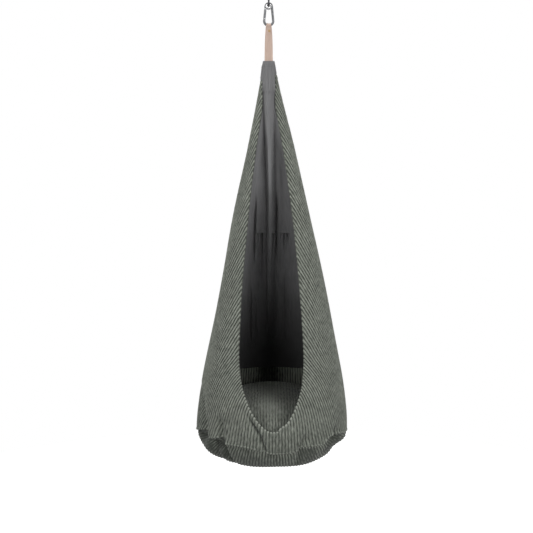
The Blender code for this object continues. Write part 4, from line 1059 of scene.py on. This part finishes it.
def outer_panel():
    """The panel from its round seam up to the opening's hem. Its columns run along the ribs."""
    count = PANEL_RIBS * STRANDS
    across = np.arange(-count, count + 1) * RIB / STRANDS
    side = np.where(across < 0, -1, 1)
    top = panel_top(across, side)
    low_edge = np.full_like(top, SEAM_Z)
    for _ in range(5):
        low_edge = seam_height(math.pi - side * back_angle(np.abs(across), low_edge))
    share = np.linspace(0, 1, 57)[1:] ** 1.45
    above_tuck = low_edge + SEAM_TUCK[-1][0]
    z = np.array([low_edge + rise for rise, deep in SEAM_TUCK]
                 + [above_tuck + (top - above_tuck) * s for s in share])
    deep = [deep for rise, deep in SEAM_TUCK] + [-0.0008, -0.0003] + [0.0] * (len(share) - 2)
    angle = math.pi - side * back_angle(np.abs(across)[None, :] + 0 * z, z)
    inset = np.array(deep)[:, None] + RIB_BASE + hanging_folds(angle, z)
    places = wall_point(angle, z, inset)
    normal = unit(wall_point(angle[-1], z[-1], inset[-1] - 0.001) - places[-1])
    hem = turned_hem(places[-1], places[-2], normal)
    places = np.concatenate([places, hem])
    v = np.concatenate([(z - SEAM_Z) * 1.12, (z[-1] - SEAM_Z)[None, :] * 1.12 + np.array(HEM_STEPS)[:, None]])
    uv = np.stack(np.broadcast_arrays(across[None, :], v), 2)
    # The rib scale of the seam's tucked rows and the hem's rows sets their rib height and paints light on
    # them: painted shade low in the seam's tuck and on the hem's turned-in rows, and painted highlights on
    # the rib ends at the seam and on the hem's rolled edge.
    rib_with_painted_light = np.ones(places.shape[:2])
    rib_with_painted_light[:6] = np.array((0.4, 0.8, 1.15, 1.25, 1.15, 1.05))[:, None]
    high_up = soft((z[-1] + 1.36) / 0.06)
    for row, low, high in zip(range(-8, 0), HEM_PAINTED_LIGHT_LOW, HEM_PAINTED_LIGHT_HIGH):
        rib_with_painted_light[row] = low + (high - low) * high_up
    level = np.zeros((len(hem), across.size))
    flatter = 0.45 * soft((-1.34 - z) / 0.08) * soft(1.6 - np.abs(from_front(angle)))
    flatter = np.concatenate([flatter, level])
    # Painted shade in the folds, pockets and hollows; the hem's rows keep their full colour.
    painted_shade_factor = np.concatenate([painted_fold_shade(angle, z), level + 1])
    rib = (rib_profile(across)[None, :] * (1 - flatter) + 0.55 * flatter) * rib_with_painted_light * painted_shade_factor
    return cloth_grid("corduroy_panel", corduroy, places, uv, rib, RIB_HEIGHT)


panel = outer_panel()
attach(panel, "pod")
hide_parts("outer_panel")


# Bottom panel. A round of the same corduroy with its ribs from front to back, sewn to the wall in
# the round seam and pulled up over the edge of the cushion.

FLAT_RADIUS = POD_HALF_WIDTH - BOTTOM_ROUNDING
ROUNDING_LENGTH = BOTTOM_ROUNDING * (math.pi / 2 - SEAM_ANGLE)


def under_point(angle, along, inset):
    """A point of the bottom, by its distance along the cloth from the edge of the flat middle, outwards
    and up. Past the round seam's usual height it lies on the wall."""
    angle, along = np.broadcast_arrays(np.asarray(angle, float), np.asarray(along, float))
    turn = math.pi / 2 - along / BOTTOM_ROUNDING
    bend = np.clip(turn, SEAM_ANGLE, math.pi / 2)
    share = np.clip(-along / FLAT_RADIUS, 0, 1)
    rounding = BOTTOM_ROUNDING - inset - press(angle, ROUNDING_Z - BOTTOM_ROUNDING * np.sin(bend))
    radius = (FLAT_RADIUS + rounding * np.cos(bend)) * (1 - share)
    z = ROUNDING_Z - rounding * np.sin(bend) - 0.008 * share * (2 - share)
    below = np.stack([lean(SEAM_Z) + radius * np.sin(angle), -radius * np.cos(angle), z], -1)
    wall_z = ROUNDING_Z - BOTTOM_ROUNDING * np.where(turn > 0, np.sin(np.minimum(turn, SEAM_ANGLE)), turn)
    return np.where((turn < SEAM_ANGLE)[..., None], wall_point(angle, wall_z, inset), below)


def under_reach(angle):
    """Distance along the bottom's cloth from the edge of its flat middle to the round seam."""
    drop = ROUNDING_Z - seam_height(angle)
    turn = np.where(drop > 0, np.arcsin(np.clip(drop / BOTTOM_ROUNDING, -1, 1)), drop / BOTTOM_ROUNDING)
    return BOTTOM_ROUNDING * (math.pi / 2 - turn)


def bottom_panel():
    """The round of corduroy. Its columns run along the ribs, from front to back."""
    right, left = (FLAT_RADIUS + under_reach(side * math.pi / 2) for side in (1, -1))
    start, end = math.ceil(-left / RIB * STRANDS + 0.2), math.floor(right / RIB * STRANDS - 0.2)
    a = np.concatenate([[-left], np.arange(start, end + 1) * RIB / STRANDS, [right]])
    ends = []
    for way in (-1, 1):
        b = np.sqrt(np.maximum(0, (FLAT_RADIUS + 0.11) ** 2 - a**2)) * way
        for _ in range(12):
            reach = FLAT_RADIUS + under_reach(np.arctan2(a, -b))
            b = np.sqrt(np.maximum(0, reach**2 - a**2)) * way
        ends.append(b)
    t = (np.sin(math.pi / 2 * np.linspace(-1, 1, 75))[:, None] + 1) / 2
    b = ends[0] + (ends[1] - ends[0]) * t
    a2 = a[None, :] + 0 * b
    radius, angle = np.hypot(a2, b), np.arctan2(a2, -b)
    below_seam = FLAT_RADIUS + under_reach(angle) - radius
    rim = np.clip(1 - below_seam / 0.004, 0, 1)
    wave = 0.0012 * np.sin(7 * angle + 1.0) * soft(radius / FLAT_RADIUS)
    set_in = 0.0026 * (1 - soft(below_seam / 0.022))
    places = under_point(angle, radius - FLAT_RADIUS, RIB_BASE + 0.0030 * rim**2 + wave + set_in)
    uv = np.stack([a2 + 0.35, b + 0.4], 2)
    # Painted shade of the folds and pockets darkens these ribs and lowers them.
    rib = rib_profile(a2 + RIB / 2) * (1 - 0.6 * rim**3) * painted_fold_shade(angle, places[..., 2])
    return cloth_grid("corduroy_bottom", corduroy, places, uv, rib, RIB_HEIGHT)


bottom = bottom_panel()
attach(bottom, "pod")
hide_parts("bottom_panel")


# Lining. Two lengths of dark grey cotton inside the wall: the upper one falls in long folds from the
# crown, and the lower one is gathered into the seam between them.

LINING_SEAM_Z = CROWN_Z - 0.5755
BAND_TOP_Z = ROUNDING_Z + 0.1602
LINING_INSET, EDGE_SET_BACK = 0.0068, 0.0035
SLACK_FROM = -0.35
GATHERS = ((-0.0249, 0.10, 0.022), (-0.0390, 0.06, 0.012), (0.0169, 0.11, 0.018), (0.0562, 0.09, 0.016),
           (0.0667, 0.06, 0.016), (-0.0120, 0.06, 0.006), (0.0440, 0.05, 0.006))


def lining(name, top, low, columns, rows):
    """A length of the lining, between the two edges of the opening round the back. It is slack, so it hangs
    forward of the wall, most at the top, where it leaves the collar between the opening's edges."""
    z = np.linspace(low, top, rows + 1)[:, None] + np.zeros((1, columns + 1))
    t = np.linspace(-1, 1, columns + 1)[None, :] + 0 * z
    reach = opening_angle(z, True), opening_angle(z, False)
    back = t * (math.pi - np.where(t < 0, *reach) - EDGE_SET_BACK / half_width(z))
    edge = clear_of_edge(t, z)
    rest = 0.003 * (0.5 + 0.5 * np.cos(13 * back + 0.4)) * edge
    rest = rest * soft((-0.4 - z) / 0.2) * soft((z + 1.30) / 0.3)
    wall = wall_point(math.pi - back, z, LINING_INSET + rest)
    turn = t * np.where(t < 0, *reach)
    fade = soft((SLACK_FROM - z) / 0.15)
    front = wall_point(turn, z, 0.0015 + pleats(turn) * (1 - fade) + tucked(turn, z))
    ends = [wall_point(side * angle, z, LINING_INSET)[..., 1] for side, angle in zip((-1, 1), reach)]
    level = ends[0] + (ends[1] - ends[0]) * (t + 1) / 2
    bulge = 1 - 1.3 * soft((SLACK_FROM - z) / 0.20)
    front[..., 1] = level + bulge * (front[..., 1] - level)
    slack = np.exp(-((np.maximum(SLACK_FROM - z, 0) / 0.36) ** 1.6))[..., None]
    places = wall + slack * (front - wall)
    forward = hanging_pleats(places[..., 0], z)
    if top < LINING_SEAM_Z:
        for centre, length, deep in GATHERS:
            line = np.exp(-(((places[..., 0] - centre) / 0.0034) ** 2))
            forward = forward - deep * line * soft(1 - (LINING_SEAM_Z - z) / length)
    places[..., 1] -= forward * edge
    uv = np.stack([back * half_width(z), z], 2)
    past_left = places[..., 0] - strip_left(z)
    strip = soft(past_left / 0.004 + 0.5) * soft(0.5 - (past_left - STRIP_WIDTH) / 0.004)
    # Painted light: the main fold's strip and the lining's middle height are lightened through the rib
    # attribute.
    rib_with_painted_light = strip * soft((-0.50 - z) / 0.18) * soft((z + 1.0) / 0.2)
    rib_with_painted_light = rib_with_painted_light + 0.55 * soft((-0.55 - z) / 0.12) * soft((z + 1.1) / 0.15)
    piece = cloth_grid(name, lining_cotton, places, uv, rib_with_painted_light, away=False)
    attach(piece, "pod")
    return piece


upper = lining("upper_lining", PANEL_TOP, LINING_SEAM_Z, 520, 130)
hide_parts("lining_upper")
lower = lining("lower_lining", LINING_SEAM_Z - 0.0003, BAND_TOP_Z, 620, 110)
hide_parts("lining_lower")


# Inner band. A ring of the same corduroy with upright ribs, sewn to the lining above the cushion, where
# a child's feet rub. It runs down inside the wall to the round seam.

BAND_RADIUS = 0.2435
BAND_INSET = 0.0066
BAND_RIB_HEIGHT = 0.0018


def inner_band():
    """The band from the round seam up to the lining's edge and the lip. Its columns run along the ribs."""
    ribs = int(math.pi * BAND_RADIUS / RIB)
    pitch = math.pi * BAND_RADIUS / ribs
    count = ribs * STRANDS
    across = np.arange(-count, count + 1) * pitch / STRANDS
    back = across / BAND_RADIUS
    heights = np.linspace(BAND_TOP_Z - 0.0003, LIP_Z + 0.0001, 400)
    tops = []
    for left in (False, True):
        reach = math.pi - opening_angle(heights, left) - EDGE_SET_BACK / half_width(heights)
        reach = np.maximum.accumulate(reach)
        reach[-1] = math.pi
        tops.append(np.interp(np.abs(back), reach, heights))
    top = np.where(back < 0, tops[1], tops[0])
    top = top - 0.008 * np.exp(-(((math.pi - np.abs(back)) * BAND_RADIUS / 0.035) ** 2))
    share = np.linspace(0, 1, 19)[:, None]
    z = SEAM_Z + 0.002 + (top[None, :] - SEAM_Z - 0.002) * share
    places = wall_point(math.pi - back[None, :] + 0 * z, z, BAND_INSET)
    uv = np.stack(np.broadcast_arrays(across[None, :] + 2.0, z), 2)
    # Painted shade and light: at the back the ribs are darkened in the middle and lightened to both sides,
    # and their height follows.
    band_painted_light_and_shade = 0.4 + 1.2 * soft((np.abs(places[..., 0]) - 0.015) / 0.05)
    rib = rib_profile(across, pitch)[None, :] * np.where(places[..., 1] > 0, band_painted_light_and_shade, 1.0)
    return cloth_grid("corduroy_band", corduroy, places, uv, rib, BAND_RIB_HEIGHT, away=False)


band = inner_band()
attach(band, "pod")
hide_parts("inner_band")


# Floor lining. A round of the lining cotton that lies on the corduroy bottom, under the cushion. It is
# sewn into the round seam.

FLOOR_INSET = 0.0062


def floor_round(columns, rows):
    """A dish from the round seam to the middle of the floor."""
    radius = np.linspace(FLAT_RADIUS + ROUNDING_LENGTH, 0, rows + 1)[:, None] + np.zeros((1, columns + 1))
    angle = np.linspace(0, 2 * math.pi, columns + 1)[None, :] + 0 * radius
    places = under_point(angle, radius - FLAT_RADIUS, FLOOR_INSET)
    uv = np.stack([radius * np.sin(angle), radius * np.cos(angle)], 2)
    return cloth_grid("floor_cloth", lining_cotton, places, uv)


floor_cloth = floor_round(96, 24)
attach(floor_cloth, "pod")
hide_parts("floor_lining")


# Cushion. A round corduroy cover with a loose fleece filling, fuller at the back, which sinks into
# the bottom of the pod. The filling is inflated as cloth, and the cover is drawn over it.

CUSHION_SEAM_Z = ROUNDING_Z + 0.0302
CUSHION_INSET = 0.0087
FILLING_INSET = CUSHION_INSET + 0.006
COVER_RIB_HEIGHT, COVER_THICKNESS, COVER_LIFT = 0.0018, 0.0022, 0.004
REMESH_STEP, SWELL_PRESSURE, SWELL_STEPS, SWELL_LIMIT = 0.006, 4.0, 20, 0.0045


def cushion_top_form(angle, rise, inset):
    """The domed top, from its side seam at rise 0 to its middle at a quarter turn, fuller at the back."""
    side = wall_point(angle, CUSHION_SEAM_Z + 0 * angle, CUSHION_INSET + inset)
    middle = np.array([float(lean(CUSHION_SEAM_Z)), 0, CUSHION_SEAM_Z])
    reach = np.maximum(0, np.cos(rise)) ** 0.75
    lift = np.maximum(0, np.sin(rise)) ** 0.9 * (1 - 0.85 * (0.5 + 0.5 * np.cos(angle)) * reach**3)
    place = middle + reach[..., None] * (side - middle)
    place[..., 2] += (0.090 + 0.08 * place[..., 1]) * lift - inset * (1 - np.cos(rise))
    return place


def cushion_rows(angle, heights, steps, floor_steps, inset):
    """Rows of points down the side of the cushion, round its edge and over its bottom to the middle."""
    rows = [wall_point(angle, z + 0 * angle, inset) for z in heights]
    along = np.linspace(ROUNDING_LENGTH, 0, steps + 1)[1:]
    return rows + [under_point(angle, at, inset) for at in np.append(along, (*floor_steps, -FLAT_RADIUS))]


def swollen(body):
    """The body on an even mesh, swollen as cloth by its own pressure, each point by up to a set distance."""
    start = body.modifiers.new("remesh", "REMESH")
    start.mode = "VOXEL"
    start.voxel_size = REMESH_STEP
    bpy.context.view_layer.objects.active = body
    with bpy.context.temp_override(object=body, active_object=body):
        bpy.ops.object.modifier_apply(modifier="remesh")
    rest = np.zeros(len(body.data.vertices) * 3)
    body.data.vertices.foreach_get("co", rest)
    cloth = body.modifiers.new("swell", "CLOTH")
    cloth.settings.use_pressure = True
    cloth.settings.uniform_pressure_force = SWELL_PRESSURE
    cloth.settings.effector_weights.gravity = 0.0
    cloth.settings.mass = 0.3
    for step in range(1, SWELL_STEPS + 1):
        bpy.context.scene.frame_set(step)
    seen = body.evaluated_get(bpy.context.evaluated_depsgraph_get()).data
    moved = np.zeros(len(seen.vertices) * 3)
    seen.vertices.foreach_get("co", moved)
    body.modifiers.remove(cloth)
    bpy.context.scene.frame_set(1)
    travel = (moved - rest).reshape(-1, 3)
    length = np.maximum(np.linalg.norm(travel, axis=1, keepdims=True), 0.0000001)
    travel *= np.minimum(1, SWELL_LIMIT / length)
    body.data.vertices.foreach_set("co", rest + travel.ravel())
    body.data.update()


def filling_body():
    """The filling as a closed body a little smaller than the cover."""
    angle = np.linspace(0, 2 * math.pi, 73)[None, :]
    rise = (math.pi / 2 * np.linspace(1, 0, 13) ** 1.3)[:, None]
    rise, angle = np.broadcast_arrays(rise, angle)
    top = cushion_top_form(angle, rise, FILLING_INSET - CUSHION_INSET)
    rows = cushion_rows(angle[:1], (ROUNDING_Z, SEAM_Z), 6, (-0.055, -0.110), FILLING_INSET)
    places = np.concatenate([top] + rows)
    body = cloth_grid("fleece_filling", None, places, places[..., :2])
    swollen(body)
    body.data.shade_smooth()
    return body


filling = filling_body()
fleece = finish("white fleece", woven_cotton, {
    "Light": (0.80, 0.79, 0.76, 1), "Dark": (0.66, 0.65, 0.62, 1), "Threads": 400.0, "Stripes": 60.0,
}, bump=0.001, specular_ior_level=0.1, sheen_weight=0.3)
filling.data.materials.append(fleece)
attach(filling, "pod")
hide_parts("cushion_filling")


def cushion_cover():
    """The ribbed top of the cover, drawn over the filling from its side seam. Its columns run along the
    ribs, from front to back."""
    bm = bmesh.new()
    bm.from_mesh(filling.data)
    tree = BVHTree.FromBMesh(bm)
    bm.free()
    rises = np.linspace(0, math.pi / 2, 400)
    line = cushion_top_form(np.full_like(rises, math.pi / 2), rises, 0.0)
    length = run_length(line)
    full = length[-1]
    half = int(full / RIB * STRANDS)
    a = np.append(np.append(-full, np.arange(-half, half + 1) * RIB / STRANDS), full)
    t = np.sin(math.pi / 2 * np.linspace(-1, 1, 61))
    b = t[:, None] * np.sqrt(np.maximum(0, full**2 - a**2))[None, :]
    a2 = a[None, :] + 0 * b
    radius, angle = np.hypot(a2, b), np.arctan2(a2, b)
    rise = np.interp(full - radius, length, rises)
    form = cushion_top_form(angle, rise, 0.0)
    centre = Vector((float(lean(CUSHION_SEAM_Z)) + 0.0007, 0.0004, CUSHION_SEAM_Z - 0.03))
    places = form.copy()
    for j, i in np.ndindex(form.shape[:2]):
        way = Vector(form[j, i]) - centre
        hit = tree.ray_cast(centre, way.normalized())[0]
        if hit:
            off = min((hit - centre).length + COVER_THICKNESS, way.length + COVER_LIFT)
            places[j, i] = centre + way.normalized() * off
    edge = soft((full - radius) / 0.012)
    # Painted shade: the cover darkens near its edge, most at the front under the lip.
    painted_edge_shade = 1 - 0.6 * (0.55 + 0.45 * np.cos(angle)) * np.exp(-(((full - radius) / 0.045) ** 2))
    # Painted light: a lit band down the middle of the cover, weaker at its front, with the sides left darker.
    # Both also set the ribs' height.
    painted_light_band = np.exp(-(((form[..., 0] - 0.005) / 0.060) ** 2))
    painted_light_band = painted_light_band * (0.3 + 0.7 * soft((form[..., 1] + 0.19) / 0.07))
    rib = (0.42 + 0.4 * rib_profile(a2) * (0.3 + 0.7 * edge)) * painted_edge_shade * (0.78 + 0.70 * painted_light_band)
    uv = np.stack([a2 + 3.0, b + 0.5], 2)
    return cloth_grid("cushion_cover", corduroy, places, uv, rib, COVER_RIB_HEIGHT)


cover = cushion_cover()
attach(cover, "pod")
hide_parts("cushion_top")


def cushion_base():
    """The plain bottom of the cover, which follows the band and the floor."""
    angle = np.linspace(0, 2 * math.pi, 193)[None, :]
    heights = CUSHION_SEAM_Z, ROUNDING_Z, SEAM_Z
    places = np.concatenate(cushion_rows(angle, heights, 8, (-0.04, -0.08, -0.12), CUSHION_INSET))
    return cloth_grid("cushion_base", corduroy, places, places[..., :2], 0.5)


base = cushion_base()
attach(base, "pod")
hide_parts("cushion_bottom")


# Studio. A white floor well below the swing and soft light from the front, as in the photograph,
# which shows the swing on plain white.

FLOOR_RADIUS, FLOOR_Z, FLOOR_GLOW = 2.6, -2.2, 0.92
SKY_SEEN, SKY_LIGHT = 1.0, 0.03
LAMPS = (("left", -75, 45, 46.0), ("front left", -30, 5, 26.0), ("front right", 30, 5, 22.5),
         ("right", 45, 25, 39.0), ("back", 180, 30, 50.0))
LAMP_SIZE, LAMP_DISTANCE, LAMPS_FACE = 1.5, 3.0, Vector((0, 0, -0.9))
CAMERA_AT, CAMERA_TILT, CAMERA_LENS, CAMERA_SENSOR = (-0.0073, -2.814, -0.7395), math.radians(86), 56.0, 36.0


def white_floor():
    """A round white floor that shines only for the camera, so that it doesn't light the swing."""
    bm = bmesh.new()
    bmesh.ops.create_circle(bm, cap_ends=True, segments=96, radius=FLOOR_RADIUS)
    bmesh.ops.translate(bm, verts=bm.verts, vec=(0, 0, FLOOR_Z))
    mesh = bpy.data.meshes.new("studio_floor")
    bm.to_mesh(mesh)
    bm.free()
    ground = linked("studio_floor", mesh)
    paint = bpy.data.materials.new("white floor")
    paint.use_nodes = True
    tree = paint.node_tree
    shader = tree.nodes["Principled BSDF"].inputs
    shader["Base Color"].default_value = (0.45, 0.45, 0.45, 1)
    shader["Roughness"].default_value = 0.9
    shader["Emission Color"].default_value = (1, 1, 1, 1)
    ray = add(tree, "ShaderNodeLightPath").outputs["Is Camera Ray"]
    glow = add(tree, "ShaderNodeMath", {0: ray, 1: FLOOR_GLOW}, operation="MULTIPLY").outputs[0]
    tree.links.new(glow, shader["Emission Strength"])
    mesh.materials.append(paint)


def studio():
    """The floor, a white sky that is dim as a light, five lamps and the photograph's camera."""
    scene = bpy.context.scene
    white_floor()
    world = bpy.data.worlds.new("white studio")
    scene.world = world
    world.use_nodes = True
    tree = world.node_tree
    sky = tree.nodes["Background"].inputs
    sky["Color"].default_value = (1, 1, 1, 1)
    path = add(tree, "ShaderNodeLightPath").outputs
    seen = path["Is Camera Ray"]
    for ray in ("Is Glossy Ray", "Is Transmission Ray"):
        seen = add(tree, "ShaderNodeMath", {0: seen, 1: path[ray]}, operation="MAXIMUM").outputs[0]
    tree.links.new(ranged(tree, seen, 0.0, 1.0, SKY_LIGHT, SKY_SEEN), sky["Strength"])

    for name, turn, rise, power in LAMPS:
        across, up = math.radians(turn), math.radians(rise)
        out = Vector((math.sin(across) * math.cos(up), -math.cos(across) * math.cos(up), math.sin(up)))
        light = bpy.data.lights.new(name, "AREA")
        light.energy = power
        light.size = LAMP_SIZE
        lamp = linked(name, light)
        lamp.location = LAMPS_FACE + out * LAMP_DISTANCE
        lamp.rotation_euler = (-out).to_track_quat("-Z", "Y").to_euler()

    view = bpy.data.cameras.new("photo view")
    view.lens = CAMERA_LENS
    view.sensor_width = CAMERA_SENSOR
    camera = linked("photo view", view)
    camera.location = CAMERA_AT
    camera.rotation_euler = (CAMERA_TILT, 0, 0)
    scene.camera = camera
    scene.view_settings.view_transform = "Standard"


studio()
